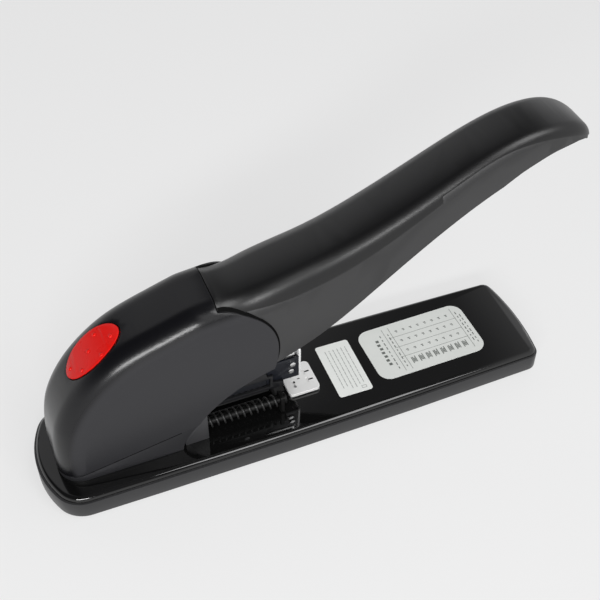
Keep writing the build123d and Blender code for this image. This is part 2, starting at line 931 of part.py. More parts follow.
with BuildPart() as handle_spring:
    coil_start = (pivot_x, -torsion_half, pivot_z)
    add(coil(coil_start, (0, 1, 0), 2 * torsion_half, torsion_pitch, torsion_radius, torsion_wire))
    leg_start = (
        pivot_x - torsion_radius * sin(torsion_angle),
        torsion_half,
        pivot_z + torsion_radius * cos(torsion_angle),
    )
    leg_end = (
        leg_start[0] + torsion_leg * cos(torsion_angle),
        torsion_half,
        leg_start[2] + torsion_leg * sin(torsion_angle),
    )
    add(wire(leg_start, leg_end, torsion_wire))
    low_z = pivot_z - torsion_radius
    hook_end = (crossbar_x - torsion_hook, -torsion_half, low_z)
    add(wire((pivot_x, -torsion_half, low_z), hook_end, torsion_wire))
finish(handle_spring, "handle_spring")

# Steel frame, its pins and the magazine's return spring

with BuildPart() as main_frame:
    with BuildSketch(side_plane(-frame_outer)):
        Polygon(
            (frame_rear_x, tray_top),
            *frame_top_points,
            (pivot_x, pivot_z + frame_eye),
            (pivot_x, pivot_z - frame_eye),
            *frame_throat_points,
            (frame_front_x, tray_top),
            align=None,
        )
        with Locations((pivot_x, pivot_z)):
            Circle(frame_eye)
    extrude(amount=-2 * frame_outer)
    with BuildSketch(Plane.XY.offset(tray_top + frame_web)):
        Rectangle(far * 5, 2 * frame_inner)
    extrude(amount=far * 2, mode=Mode.SUBTRACT)
    bore(pivot_x, pivot_z, pivot_radius)
    bore(swing_x, swing_z, swing_radius)
    bore(crossbar_x, crossbar_z, crossbar_radius)
    with Locations(Plane.XY.offset(tray_top + frame_web)):
        with Locations(*frame_screw_spots):
            Hole(screw_hole, depth=frame_web)
    # stud that centres the magazine's return spring
    with BuildSketch(Plane.XY.offset(tray_top + frame_web)):
        with Locations((lift_spring_x, 0)):
            Circle(lift_spring_radius - 2 * lift_spring_wire)
    extrude(amount=lift_stud_height)
finish(main_frame, "main_frame")

with BuildPart() as frame_screws:
    with BuildSketch(Plane.XY.offset(chassis_bottom)):
        with Locations(*frame_screw_spots):
            Circle(screw_radius)
    extrude(amount=chassis_thick + frame_web)
    with BuildSketch(Plane.XY.offset(tray_top + frame_web)):
        with Locations(*frame_screw_spots):
            Circle(screw_head_radius)
    extrude(amount=screw_head_height)
finish(frame_screws, "frame_screws")

with BuildPart() as magazine_pivot_pin:
    rod(swing_x, swing_z, swing_radius, frame_outer)
finish(magazine_pivot_pin, "magazine_pivot_pin")

with BuildPart() as spring_crossbar:
    rod(crossbar_x, crossbar_z, crossbar_radius, frame_outer)
finish(spring_crossbar, "spring_crossbar")

carrier_outer = crown_width / 2 + channel_clearance + channel_sheet + carrier_gap + carrier_sheet

with BuildPart() as magazine_spacers:
    rod(swing_x, swing_z, swing_radius + spacer_wall, frame_inner)
    bore(swing_x, swing_z, swing_radius)
    bore(swing_x, swing_z, far / 4, carrier_outer + fit_gap)
finish(magazine_spacers, "magazine_spacers")

lift_spring_low = tray_top + frame_web + lift_spring_wire
lift_spring_high = channel_bottom - lift_spring_wire
with BuildPart() as magazine_spring:
    add(
        coil(
            (lift_spring_x, 0, lift_spring_low),
            (0, 0, 1),
            lift_spring_high - lift_spring_low,
            lift_spring_pitch,
            lift_spring_radius - lift_spring_wire,
            lift_spring_wire,
        )
    )
finish(magazine_spring, "magazine_spring")

# Drive pin in the lever, and the driver it pushes down

with BuildPart() as drive_pin:
    rod(load_x, load_z, load_radius, lever_outer)
finish(drive_pin, "drive_pin")

with BuildPart() as drive_rollers:
    rod(load_x, load_z, load_radius + roller_wall, lever_inner - side_gap)
    bore(load_x, load_z, load_radius)
    bore(load_x, load_z, far / 4, holder_half_width + fit_gap)
finish(drive_rollers, "drive_rollers")

with BuildPart() as driver_holder:
    with BuildSketch(side_plane(-holder_half_width)):
        with Locations(((holder_rear_x + holder_front_x) / 2, (holder_low_z + holder_high_z) / 2)):
            RectangleRounded(holder_front_x - holder_rear_x, holder_high_z - holder_low_z, holder_corner)
        with Locations(((slot_rear_x + slot_front_x) / 2, load_z)):
            SlotOverall(slot_front_x - slot_rear_x, 2 * (load_radius + slot_play), mode=Mode.SUBTRACT)
    extrude(amount=-2 * holder_half_width)
    with BuildSketch(Plane.XY.offset(holder_low_z)):
        Rectangle(blade_thick, 2 * blade_half_width)
    extrude(amount=blade_top - holder_low_z, mode=Mode.SUBTRACT)
    with BuildSketch(Plane.YZ.offset(holder_rear_x)):
        with Locations((0, driver_rivet_z)):
            Circle(driver_rivet_radius)
    extrude(amount=far, mode=Mode.SUBTRACT)
finish(driver_holder, "driver_holder")

with BuildPart() as driver_blade:
    with BuildSketch(Plane.XY.offset(blade_tip)):
        Rectangle(blade_thick, 2 * blade_half_width)
    extrude(amount=blade_top - blade_tip)
    with BuildSketch(Plane.YZ.offset(-blade_thick)):
        with Locations((0, driver_rivet_z)):
            Circle(driver_rivet_radius)
    extrude(amount=2 * blade_thick, mode=Mode.SUBTRACT)
finish(driver_blade, "driver_blade")

with BuildPart() as driver_rivet:
    with BuildSketch(Plane.YZ.offset(holder_rear_x)):
        with Locations((0, driver_rivet_z)):
            Circle(driver_rivet_radius)
    extrude(amount=holder_front_x - holder_rear_x)
finish(driver_rivet, "driver_rivet")

# Magazine

channel_inner = crown_width / 2 + channel_clearance
channel_outer = channel_inner + channel_sheet
carrier_inner = channel_outer + carrier_gap

with BuildPart() as magazine_channel:
    with BuildSketch(side_plane(-channel_outer)):
        Polygon(
            (channel_rear_x, channel_bottom),
            (channel_front_x, channel_bottom),
            (channel_front_x, channel_top),
            (channel_rear_x, channel_top),
            align=None,
        )
    extrude(amount=-2 * channel_outer)
    with BuildSketch(Plane.XY.offset(channel_bottom + channel_sheet)):
        Rectangle(far * 5, 2 * channel_inner)
    extrude(amount=far, mode=Mode.SUBTRACT)
    bore(swing_x, swing_z, swing_radius + running_clearance)
    for rivet_x, rivet_z in rivet_spots:
        bore(rivet_x, rivet_z, small_rivet)
finish(magazine_channel, "magazine_channel")

slot_low_z = carrier_bottom + strip_height
toe_x = carrier_slot_front_x + slot_end_wall
with BuildPart() as magazine_carrier:
    with BuildSketch(side_plane(-carrier_outer)):
        Polygon(
            (carrier_rear_x, carrier_bottom),
            (carrier_front_x, carrier_bottom),
            (carrier_front_x, carrier_bottom + toe_front_height),
            (toe_x, carrier_bottom + toe_rear_height),
            (toe_x, slot_low_z + slot_height + slot_end_wall),
            (step_x, slot_low_z + slot_height + slot_end_wall),
            (cheek_front_x, carrier_top),
            (carrier_rear_x, carrier_top),
            align=None,
        )
    extrude(amount=-2 * carrier_outer)
    with BuildSketch(Plane.XY.offset(carrier_top - carrier_sheet)):
        Rectangle(far * 5, 2 * carrier_inner)
    extrude(amount=-far, mode=Mode.SUBTRACT)
    # long slot along each side, and the web trimmed back at both ends
    with BuildSketch(side_plane(-far)):
        Polygon(
            (carrier_slot_rear_x, slot_low_z),
            (carrier_slot_front_x, slot_low_z),
            (carrier_slot_front_x, slot_low_z + slot_height),
            (carrier_slot_rear_x, slot_low_z + slot_height),
            align=None,
        )
    extrude(amount=-2 * far, mode=Mode.SUBTRACT)
    with BuildSketch(Plane.XY.offset(carrier_top)):
        with Locations((carrier_web_front_x + far / 2, 0), (carrier_web_rear_x - far / 2, 0)):
            Rectangle(far, 2 * carrier_inner)
    extrude(amount=-carrier_sheet, mode=Mode.SUBTRACT)
    bore(swing_x, swing_z, swing_radius + running_clearance)
    for rivet_x, rivet_z in rivet_spots:
        bore(rivet_x, rivet_z, small_rivet)
    # two lugs on the web carry the latch
    with BuildSketch(side_plane(-lug_outer)):
        with Locations((latch_x, latch_z)):
            Circle(lug_radius)
            with Locations((0, carrier_top / 2 - latch_z / 2)):
                Rectangle(2 * lug_radius, latch_z - carrier_top)
    extrude(amount=-2 * lug_outer)
    with BuildSketch(side_plane(-lug_inner)):
        with Locations((latch_x, carrier_top + far / 4)):
            Rectangle(far / 4, far / 2)
    extrude(amount=-2 * lug_inner, mode=Mode.SUBTRACT)
    bore(latch_x, latch_z, latch_pin_radius)
finish(magazine_carrier, "magazine_carrier")

with BuildPart() as magazine_rivets:
    for rivet_x, rivet_z in rivet_spots:
        rod(rivet_x, rivet_z, small_rivet, carrier_outer)
        bore(rivet_x, rivet_z, far / 4, channel_inner)
finish(magazine_rivets, "magazine_rivets")

with BuildPart() as driver_guide:
    # foot on the carrier's web, risers beside the blade, and a collar the blade runs through
    with BuildSketch(Plane.XY.offset(carrier_top)):
        with Locations(((guide_foot_rear_x + guide_rear_x) / 2, 0)):
            Rectangle(guide_rear_x - guide_foot_rear_x, 2 * guide_half_width)
    extrude(amount=guide_foot_thick)
    with BuildSketch(Plane.XY.offset(carrier_top)):
        with Locations(((guide_rear_x - guide_sheet / 2), 0)):
            Rectangle(guide_sheet, 2 * guide_half_width)
    extrude(amount=guide_top - carrier_top)
    with BuildSketch(Plane.XY.offset(guide_collar_z)):
        with Locations(((guide_rear_x + guide_front_x) / 2, 0)):
            Rectangle(guide_front_x - guide_rear_x, 2 * guide_half_width)
        Rectangle(blade_thick + 2 * fit_gap, 2 * (blade_half_width + fit_gap), mode=Mode.SUBTRACT)
    extrude(amount=guide_top - guide_collar_z)
    with BuildSketch(Plane.YZ.offset(blade_thick / 2)):
        with Locations((0, (guide_collar_z + guide_top) / 2)):
            Rectangle(guide_window_width, guide_top - guide_collar_z - 2 * guide_window_margin)
    extrude(amount=far / 6, mode=Mode.SUBTRACT)
finish(driver_guide, "driver_guide")

with BuildPart() as latch_pin:
    rod(latch_x, latch_z, latch_pin_radius, lug_outer)
finish(latch_pin, "latch_pin")


def from_button(depth, along):
    # a point at a depth below the button's surface and a distance up its slope
    return (
        button_x + slope_sin * depth + slope_cos * along,
        button_z - slope_cos * depth + slope_sin * along,
    )


latch_half_width = lug_inner - latch_gap
pad_depth = stem_end + fit_gap
with BuildPart() as latch_lever:
    with BuildSketch(side_plane(-latch_half_width)):
        Polygon(
            from_button(pad_depth, -pad_rear),
            from_button(pad_depth, pad_front),
            from_button(pad_depth + pad_thick, pad_front),
            (arm_x, latch_z - latch_gap),
            (latch_x, latch_z - latch_hub),
            (latch_x, latch_z + latch_hub),
            align=None,
        )
        with Locations((latch_x, latch_z)):
            Circle(latch_hub)
        Polygon(
            (latch_x, latch_z + pad_thick),
            (hook_x - hook_rear, latch_z + pad_thick),
            (hook_x - hook_rear, rail_top + latch_gap),
            (hook_x + hook_front, rail_top + latch_gap),
            (hook_x + hook_front, latch_z - hook_front),
            (latch_x, latch_z - hook_front),
            align=None,
        )
        with Locations((latch_x, latch_z)):
            Circle(latch_pin_radius + running_clearance, mode=Mode.SUBTRACT)
    extrude(amount=-2 * latch_half_width)
finish(latch_lever, "latch_lever")

# Drawer with the rail, the staples and their pusher

rail_bottom = channel_bottom + channel_sheet + fit_gap
rail_floor = rail_bottom + rail_sheet
plate_rear_x = drawer_front_x - front_plate_thick

with BuildPart() as drawer_block:
    with BuildSketch(side_plane(-channel_outer)):
        Polygon(
            (channel_front_x + fit_gap, channel_bottom),
            (plate_rear_x, channel_bottom),
            (plate_rear_x, channel_top),
            (channel_front_x + fit_gap, channel_top),
            align=None,
        )
    extrude(amount=-2 * channel_outer)
    with BuildSketch(Plane.XY.offset(rail_bottom)):
        Rectangle(far * 2, 2 * channel_inner)
    extrude(amount=far, mode=Mode.SUBTRACT)
    # staples leave through the open front of the floor
    with BuildSketch(Plane.XY.offset(channel_bottom)):
        with Locations((far / 2 + floor_end_x, 0)):
            Rectangle(far, 2 * channel_inner)
    extrude(amount=far, mode=Mode.SUBTRACT)
    for rivet_x, rivet_z in drawer_rivet_spots:
        bore(rivet_x, rivet_z, small_rivet)
finish(drawer_block, "drawer_block")

with BuildPart() as drawer_rivets:
    for rivet_x, rivet_z in drawer_rivet_spots:
        rod(rivet_x, rivet_z, drawer_rivet_head, channel_outer + drawer_rivet_proud)
        bore(rivet_x, rivet_z, far / 4, channel_outer)
    for rivet_x, rivet_z in drawer_rivet_spots:
        rod(rivet_x, rivet_z, small_rivet, channel_outer)
        bore(rivet_x, rivet_z, far / 4, channel_inner)
finish(drawer_rivets, "drawer_rivets")

with BuildPart() as front_plate:
    with BuildSketch(Plane.YZ.offset(plate_rear_x)):
        with Locations((0, (channel_bottom + front_plate_top) / 2)):
            RectangleRounded(2 * channel_outer, front_plate_top - channel_bottom, front_plate_corner)
    extrude(amount=front_plate_thick)
finish(front_plate, "front_plate")

with BuildPart() as staple_rail:
    with BuildSketch(side_plane(-rail_half_width)):
        Polygon(
            (rail_rear_x, rail_bottom),
            (rail_front_x, rail_bottom),
            (rail_front_x, rail_top),
            (rail_rear_x, rail_top),
            align=None,
        )
    extrude(amount=-2 * rail_half_width)
    with BuildSketch(Plane.XY.offset(rail_floor)):
        with Locations(((rail_block_x + rail_front_x - rail_wall) / 2, 0)):
            Rectangle(rail_front_x - rail_wall - rail_block_x, 2 * (rail_half_width - rail_sheet))
    extrude(amount=far, mode=Mode.SUBTRACT)
    with BuildSketch(Plane.YZ.offset(rail_rear_x)):
        with Locations((0, rod_z)):
            Circle(rod_radius)
    extrude(amount=far * 2, mode=Mode.SUBTRACT)
    # pocket the latch drops into
    with BuildSketch(Plane.XY.offset(rail_top)):
        with Locations((hook_x + (hook_front - hook_rear) / 2, 0)):
            Rectangle(pocket_length, 2 * (latch_half_width + latch_gap))
    extrude(amount=-pocket_depth, mode=Mode.SUBTRACT)
finish(staple_rail, "staple_rail")

with BuildPart() as pusher_rod:
    with BuildSketch(Plane.YZ.offset(rail_rear_x)):
        with Locations((0, rod_z)):
            Circle(rod_radius)
    extrude(amount=rail_front_x - rail_rear_x)
finish(pusher_rod, "pusher_rod")

crown_half = crown_width / 2
with BuildPart() as staple_strip:
    with BuildSketch(Plane.YZ.offset(strip_rear_x)):
        with Locations((0, rail_top + staple_wire - staple_leg / 2)):
            Rectangle(2 * crown_half, staple_leg)
        with Locations((0, rail_top - staple_leg / 2)):
            Rectangle(2 * (crown_half - staple_wire), staple_leg, mode=Mode.SUBTRACT)
    extrude(amount=rail_front_x + fit_gap - strip_rear_x)
finish(staple_strip, "staple_strip")

with BuildPart() as staple_pusher:
    pusher_front_x = strip_rear_x - fit_gap
    pusher_middle_x = pusher_front_x - pusher_length / 2
    with BuildSketch(Plane.XY.offset(rail_top + fit_gap)):
        with Locations((pusher_middle_x, 0)):
            Rectangle(pusher_length, 2 * crown_half)
    extrude(amount=pusher_thick)
    with BuildSketch(Plane.XY.offset(rail_top + fit_gap)):
        with Locations((pusher_middle_x, 0)):
            Rectangle(pusher_length, 2 * crown_half)
            Rectangle(pusher_length, 2 * (rail_half_width + fit_gap), mode=Mode.SUBTRACT)
            Rectangle(pusher_length, 2 * (rail_half_width - rail_sheet - fit_gap))
    extrude(amount=rail_floor - rail_top)
    with BuildSketch(Plane.YZ.offset(pusher_front_x)):
        with Locations((0, rod_z)):
            Circle(rod_radius + running_clearance)
    extrude(amount=-far, mode=Mode.SUBTRACT)
finish(staple_pusher, "staple_pusher")

with BuildPart() as pusher_spring:
    spring_start = (rail_block_x + pusher_spring_seat, 0, rod_z)
    spring_length = pusher_front_x - pusher_length - 2 * pusher_spring_seat - rail_block_x
    add(
        coil(
            spring_start,
            (1, 0, 0),
            spring_length,
            pusher_spring_pitch,
            pusher_spring_radius,
            pusher_spring_wire,
        )
    )
finish(pusher_spring, "pusher_spring")

# Paper stop on its two sprung guide rods

rod_ys = (-stop_rod_y, stop_rod_y)
with BuildPart() as stop_bracket:
    with BuildSketch(side_plane(-bracket_outer)):
        Polygon(
            (bracket_rear_x, deck_top),
            (bracket_front_x, deck_top),
            (bracket_front_x, bracket_top),
            (bracket_step_x, bracket_top),
            (bracket_step_x, bracket_step_z),
            (bracket_rear_x, bracket_step_z),
            align=None,
        )
    extrude(amount=-2 * bracket_outer)
    with BuildSketch(Plane.XY.offset(deck_top + bracket_floor)):
        Rectangle(far * 3, 2 * bracket_inner)
    extrude(amount=far, mode=Mode.SUBTRACT)
    with BuildSketch(Plane.YZ.offset(bracket_front_x)):
        with Locations(*[(y, stop_rod_z) for y in rod_ys]):
            Circle(stop_rod_radius)
    extrude(amount=-rod_seat, mode=Mode.SUBTRACT)
finish(stop_bracket, "stop_bracket")

stop_front_x = stop_x + stop_thick / 2
with BuildPart() as stop_rods:
    with BuildSketch(Plane.YZ.offset(bracket_front_x - rod_seat)):
        with Locations(*[(y, stop_rod_z) for y in rod_ys]):
            Circle(stop_rod_radius)
    extrude(amount=stop_front_x + fit_gap + rod_seat - bracket_front_x)
    with BuildSketch(Plane.YZ.offset(stop_front_x + fit_gap)):
        with Locations(*[(y, stop_rod_z) for y in rod_ys]):
            Circle(stop_rod_radius + rod_head_reach)
    extrude(amount=rod_head_thick)
finish(stop_rods, "stop_rods")

with BuildPart() as paper_stop:
    with BuildSketch(Plane.YZ.offset(stop_x - stop_thick / 2)):
        with Locations(*[(y, (stop_low_z + stop_high_z) / 2) for y in rod_ys]):
            RectangleRounded(2 * stop_ear_half, stop_high_z - stop_low_z, stop_corner)
        with Locations((0, stop_low_z + stop_strap / 2)):
            Rectangle(2 * stop_rod_y, stop_strap)
        with Locations(*[(y, stop_rod_z) for y in rod_ys]):
            Circle(stop_rod_radius + running_clearance, mode=Mode.SUBTRACT)
    extrude(amount=stop_thick)
finish(paper_stop, "paper_stop")

with BuildPart() as stop_springs:
    wire_radius = stop_spring_wire / 2
    coil_length = stop_x - stop_thick / 2 - bracket_front_x - 2 * (wire_radius + stop_spring_seat)
    for y in rod_ys:
        add(
            coil(
                (bracket_front_x + wire_radius + stop_spring_seat, y, stop_rod_z),
                (1, 0, 0),
                coil_length,
                stop_spring_pitch,
                stop_spring_radius - wire_radius,
                wire_radius,
            )
        )
finish(stop_springs, "stop_springs")

# Release button


def button_layer(outer_depth, inner_depth, half_length, half_width):
    # an elliptical patch of the crown between two depths
    with BuildPart() as patch:
        with BuildSketch(button_plane(-far / 3)):
            Ellipse(half_length, half_width)
        extrude(amount=far)
    return (crown_body(outer_depth) - crown_body(inner_depth)) & patch.part

with BuildPart() as release_button:
    add(button_layer(-button_proud, flange_depth + flange_thick, button_half_length, button_half_width))
    add(
        button_layer(
            flange_depth,
            flange_depth + flange_thick,
            button_half_length + flange_reach,
            button_half_width + flange_reach,
        )
    )
    with BuildSketch(button_plane(-flange_depth)):
        Circle(seat_radius)
    extrude(amount=flange_depth - seat_depth)
    with BuildSketch(button_plane(-flange_depth)):
        Circle(stem_radius)
    extrude(amount=flange_depth - stem_end)
finish(release_button, "release_button")

with BuildPart() as button_guide:
    with BuildSketch(button_plane(-guide_depth)):
        Rectangle(guide_length, 2 * frame_inner)
        Circle(stem_radius + running_clearance, mode=Mode.SUBTRACT)
    extrude(amount=guide_thick)
finish(button_guide, "button_guide")

with BuildPart() as button_spring:
    spring_low = button_plane(guide_thick + button_spring_gap - guide_depth)
    add(
        coil(
            tuple(spring_low.origin),
            tuple(spring_low.z_dir),
            guide_depth - guide_thick - seat_depth - 2 * button_spring_gap,
            button_spring_pitch,
            stem_radius + button_spring_wire + 1.1,
            button_spring_wire,
        )
    )
finish(button_spring, "button_spring")
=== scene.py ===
import json
import math
import bpy
from mathutils import Matrix, Quaternion, Vector

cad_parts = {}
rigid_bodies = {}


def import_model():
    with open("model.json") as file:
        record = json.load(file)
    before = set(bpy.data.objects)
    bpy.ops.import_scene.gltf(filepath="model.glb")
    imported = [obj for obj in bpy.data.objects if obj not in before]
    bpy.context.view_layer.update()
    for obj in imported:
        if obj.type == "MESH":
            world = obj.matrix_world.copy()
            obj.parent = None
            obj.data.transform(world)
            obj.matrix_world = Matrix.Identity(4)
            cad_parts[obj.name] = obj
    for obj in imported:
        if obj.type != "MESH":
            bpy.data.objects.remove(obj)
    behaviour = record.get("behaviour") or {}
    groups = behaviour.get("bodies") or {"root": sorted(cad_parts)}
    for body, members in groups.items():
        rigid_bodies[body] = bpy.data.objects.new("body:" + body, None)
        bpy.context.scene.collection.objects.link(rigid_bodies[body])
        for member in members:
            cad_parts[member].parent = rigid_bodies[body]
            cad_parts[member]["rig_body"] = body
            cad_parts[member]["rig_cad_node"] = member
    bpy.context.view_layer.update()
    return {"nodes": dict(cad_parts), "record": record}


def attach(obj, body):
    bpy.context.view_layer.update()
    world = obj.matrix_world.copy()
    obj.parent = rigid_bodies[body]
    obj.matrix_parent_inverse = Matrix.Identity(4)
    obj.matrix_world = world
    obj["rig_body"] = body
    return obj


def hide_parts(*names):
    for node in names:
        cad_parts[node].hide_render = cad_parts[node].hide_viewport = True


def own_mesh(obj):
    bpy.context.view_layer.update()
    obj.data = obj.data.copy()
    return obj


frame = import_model()
# the studio is given in metres, the pieces in millimetres, every turn in degrees
mm = 0.001
print("frame loaded")

slotOfNode = {part["node"]: part["material_slot"] for part in frame["record"]["subparts"]}


def onlySelect(piece):
    bpy.ops.object.select_all(action="DESELECT")
    piece.hide_set(False)
    piece.select_set(True)
    bpy.context.view_layer.objects.active = piece


# Camera
cameraValues = {
    "place": (-0.143829, -0.364705, 0.478794),
    "right": (0.92643306, -0.37645688, 0.00141705),
    "up": (0.26750034, 0.66093815, 0.70114502),
    "forward": (0.26488745, 0.64918486, -0.71301729),
    "lens": 65.9,
    "sensor": 36.0,
}


def makeCamera(values):
    bpy.ops.object.camera_add()
    camera = bpy.context.object
    right, up, forward = (Vector(values[name]) for name in ("right", "up", "forward"))
    turn = Matrix((right, up, -forward)).transposed()
    camera.matrix_world = Matrix.Translation(values["place"]) @ turn.to_4x4()
    camera.data.lens = values["lens"]
    camera.data.sensor_width = values["sensor"]
    bpy.context.scene.camera = camera


makeCamera(cameraValues)

# Light and floor
studioValues = {
    "horizonColor": (0.9, 0.9, 0.91),
    "leftColor": (0.04, 0.04, 0.045),
    "middleColor": (0.14, 0.14, 0.145),
    "rightColor": (0.9, 0.9, 0.91),
    "cardColor": (0.62, 0.62, 0.63),
    "upperStart": (0.02, 0.5),
    "leftToMiddle": (-0.5, 0.2),
    "middleToRight": (0.4, 0.52),
    "cardAim": (-0.15, 0.77, 0.62),
    "cardEdge": (0.86, 0.98),
    "floorColor": (0.22, 0.22, 0.22),
    "floorRoughness": 0.9,
    "floorSpecular": 0.1,
    "floorGlow": 0.63,
    "floorSize": 6.0,
    "floorDrop": 0.0002,
    "lamps": [
        # name, place, target, size, size across, watts, roll
        ("nearLamp", (-0.5, -0.93, 0.6), (-0.02, 0.0, 0.09), 0.75, 0.12, 10.0, 18),
        ("overheadLamp", (0.42, -0.88, 1.22), (0.0, 0.0, 0.03), 0.6, 0.75, 8.5, 0),
    ],
}


def makeLamps(values):
    for name, place, target, size, sizeAcross, watts, roll in values["lamps"]:
        bpy.ops.object.light_add(type="AREA", location=place)
        lamp = bpy.context.object
        lamp.name = name
        lamp.data.shape = "RECTANGLE"
        lamp.data.size = size
        lamp.data.size_y = sizeAcross
        lamp.data.energy = watts
        aim = Vector(target) - Vector(place)
        turn = aim.to_track_quat("-Z", "Y") @ Quaternion((0, 0, 1), math.radians(roll))
        lamp.rotation_euler = turn.to_euler()


def addMath(nodes, links, operation, *values, clamp=False):
    # every value is either a number or a socket to link from
    step = nodes.new("ShaderNodeMath")
    step.operation = operation
    step.use_clamp = clamp
    for socket, value in zip(step.inputs, values):
        if isinstance(value, (int, float)):
            socket.default_value = value
        else:
            links.new(value, socket)
    return step.outputs[0]


def smoothRange(nodes, links, value, limits):
    ramp = nodes.new("ShaderNodeMapRange")
    ramp.interpolation_type = "SMOOTHSTEP"
    ramp.inputs["From Min"].default_value = limits[0]
    ramp.inputs["From Max"].default_value = limits[1]
    links.new(value, ramp.inputs["Value"])
    return ramp.outputs["Result"]


def mixColors(nodes, links, factor, first, second):
    mix = nodes.new("ShaderNodeMix")
    mix.data_type = "RGBA"
    links.new(factor, mix.inputs["Factor"])
    for name, color in (("A", first), ("B", second)):
        if isinstance(color, tuple):
            mix.inputs[name].default_value = (*color, 1)
        else:
            links.new(color, mix.inputs[name])
    return mix.outputs["Result"]


def makeWorld(values):
    # a pale wall all round, a ceiling dark on the left and pale on the right, and one soft card behind
    world = bpy.data.worlds.new("studioWorld")
    bpy.context.scene.world = world
    world.use_nodes = True
    nodes, links = world.node_tree.nodes, world.node_tree.links
    split = nodes.new("ShaderNodeSeparateXYZ")
    direction = nodes.new("ShaderNodeTexCoord").outputs["Generated"]
    links.new(direction, split.inputs["Vector"])
    height = smoothRange(nodes, links, split.outputs["Z"], values["upperStart"])
    side = smoothRange(nodes, links, split.outputs["X"], values["leftToMiddle"])
    farSide = smoothRange(nodes, links, split.outputs["X"], values["middleToRight"])
    towards = nodes.new("ShaderNodeVectorMath")
    towards.operation = "DOT_PRODUCT"
    towards.inputs[1].default_value = Vector(values["cardAim"]).normalized()
    links.new(direction, towards.inputs[0])
    card = smoothRange(nodes, links, towards.outputs["Value"], values["cardEdge"])
    ceiling = mixColors(nodes, links, side, values["leftColor"], values["middleColor"])
    ceiling = mixColors(nodes, links, farSide, ceiling, values["rightColor"])
    ceiling = mixColors(nodes, links, card, ceiling, values["cardColor"])
    color = mixColors(nodes, links, height, values["horizonColor"], ceiling)
    links.new(color, nodes["Background"].inputs["Color"])
    nodes["Background"].inputs["Strength"].default_value = 1.0


def makeFloor(values):
    bpy.ops.mesh.primitive_plane_add(size=values["floorSize"], location=(0, 0, -values["floorDrop"]))
    floor = bpy.context.object
    floor.name = "floor"
    bpy.ops.object.transform_apply(location=True)
    material = bpy.data.materials.new("floorPaper")
    material.use_nodes = True
    nodes, links = material.node_tree.nodes, material.node_tree.links
    shader = nodes["Principled BSDF"]
    shader.inputs["Base Color"].default_value = (*values["floorColor"], 1)
    shader.inputs["Roughness"].default_value = values["floorRoughness"]
    shader.inputs["Specular IOR Level"].default_value = values["floorSpecular"]
    # a pale glow that the camera, mirrors and glass see, and that lights nothing
    shader.inputs["Emission Color"].default_value = (1, 1, 1, 1)
    path = nodes.new("ShaderNodeLightPath")
    seen = path.outputs["Is Camera Ray"]
    for name in ("Is Glossy Ray", "Is Transmission Ray"):
        seen = addMath(nodes, links, "MAXIMUM", seen, path.outputs[name])
    glow = addMath(nodes, links, "MULTIPLY", seen, values["floorGlow"])
    links.new(glow, shader.inputs["Emission Strength"])
    floor.data.materials.append(material)


bpy.context.scene.view_settings.view_transform = "Standard"
makeLamps(studioValues)
makeWorld(studioValues)
makeFloor(studioValues)
print("camera, lamps and floor placed")


# Shared effects
surfaceValues = {"patchDetail": 5, "grainDetail": 2, "rubbedFrom": 0.52, "rubbedTo": 0.62}
brushedValues = {"stretch": (0.03, 1.0, 1.0), "detail": 3}


def newGroup(name, inputs, outputs):
    group = bpy.data.node_groups.new(name, "ShaderNodeTree")
    for label, kind, value in inputs:
        socket = group.interface.new_socket(name=label, in_out="INPUT", socket_type=kind)
        socket.default_value = value
    for label, kind in outputs:
        group.interface.new_socket(name=label, in_out="OUTPUT", socket_type=kind)
    return group, group.nodes.new("NodeGroupInput"), group.nodes.new("NodeGroupOutput")


def addNoise(group, coordinates, scaleSocket, detail):
    noise = group.nodes.new("ShaderNodeTexNoise")
    noise.inputs["Detail"].default_value = detail
    group.links.new(coordinates, noise.inputs["Vector"])
    group.links.new(scaleSocket, noise.inputs["Scale"])
    return noise.outputs["Fac"]


def spreadAround(group, value, spread, base):
    # base + (value - 0.5) * spread
    centred = addMath(group.nodes, group.links, "SUBTRACT", value, 0.5)
    return addMath(group.nodes, group.links, "MULTIPLY_ADD", centred, spread, base)


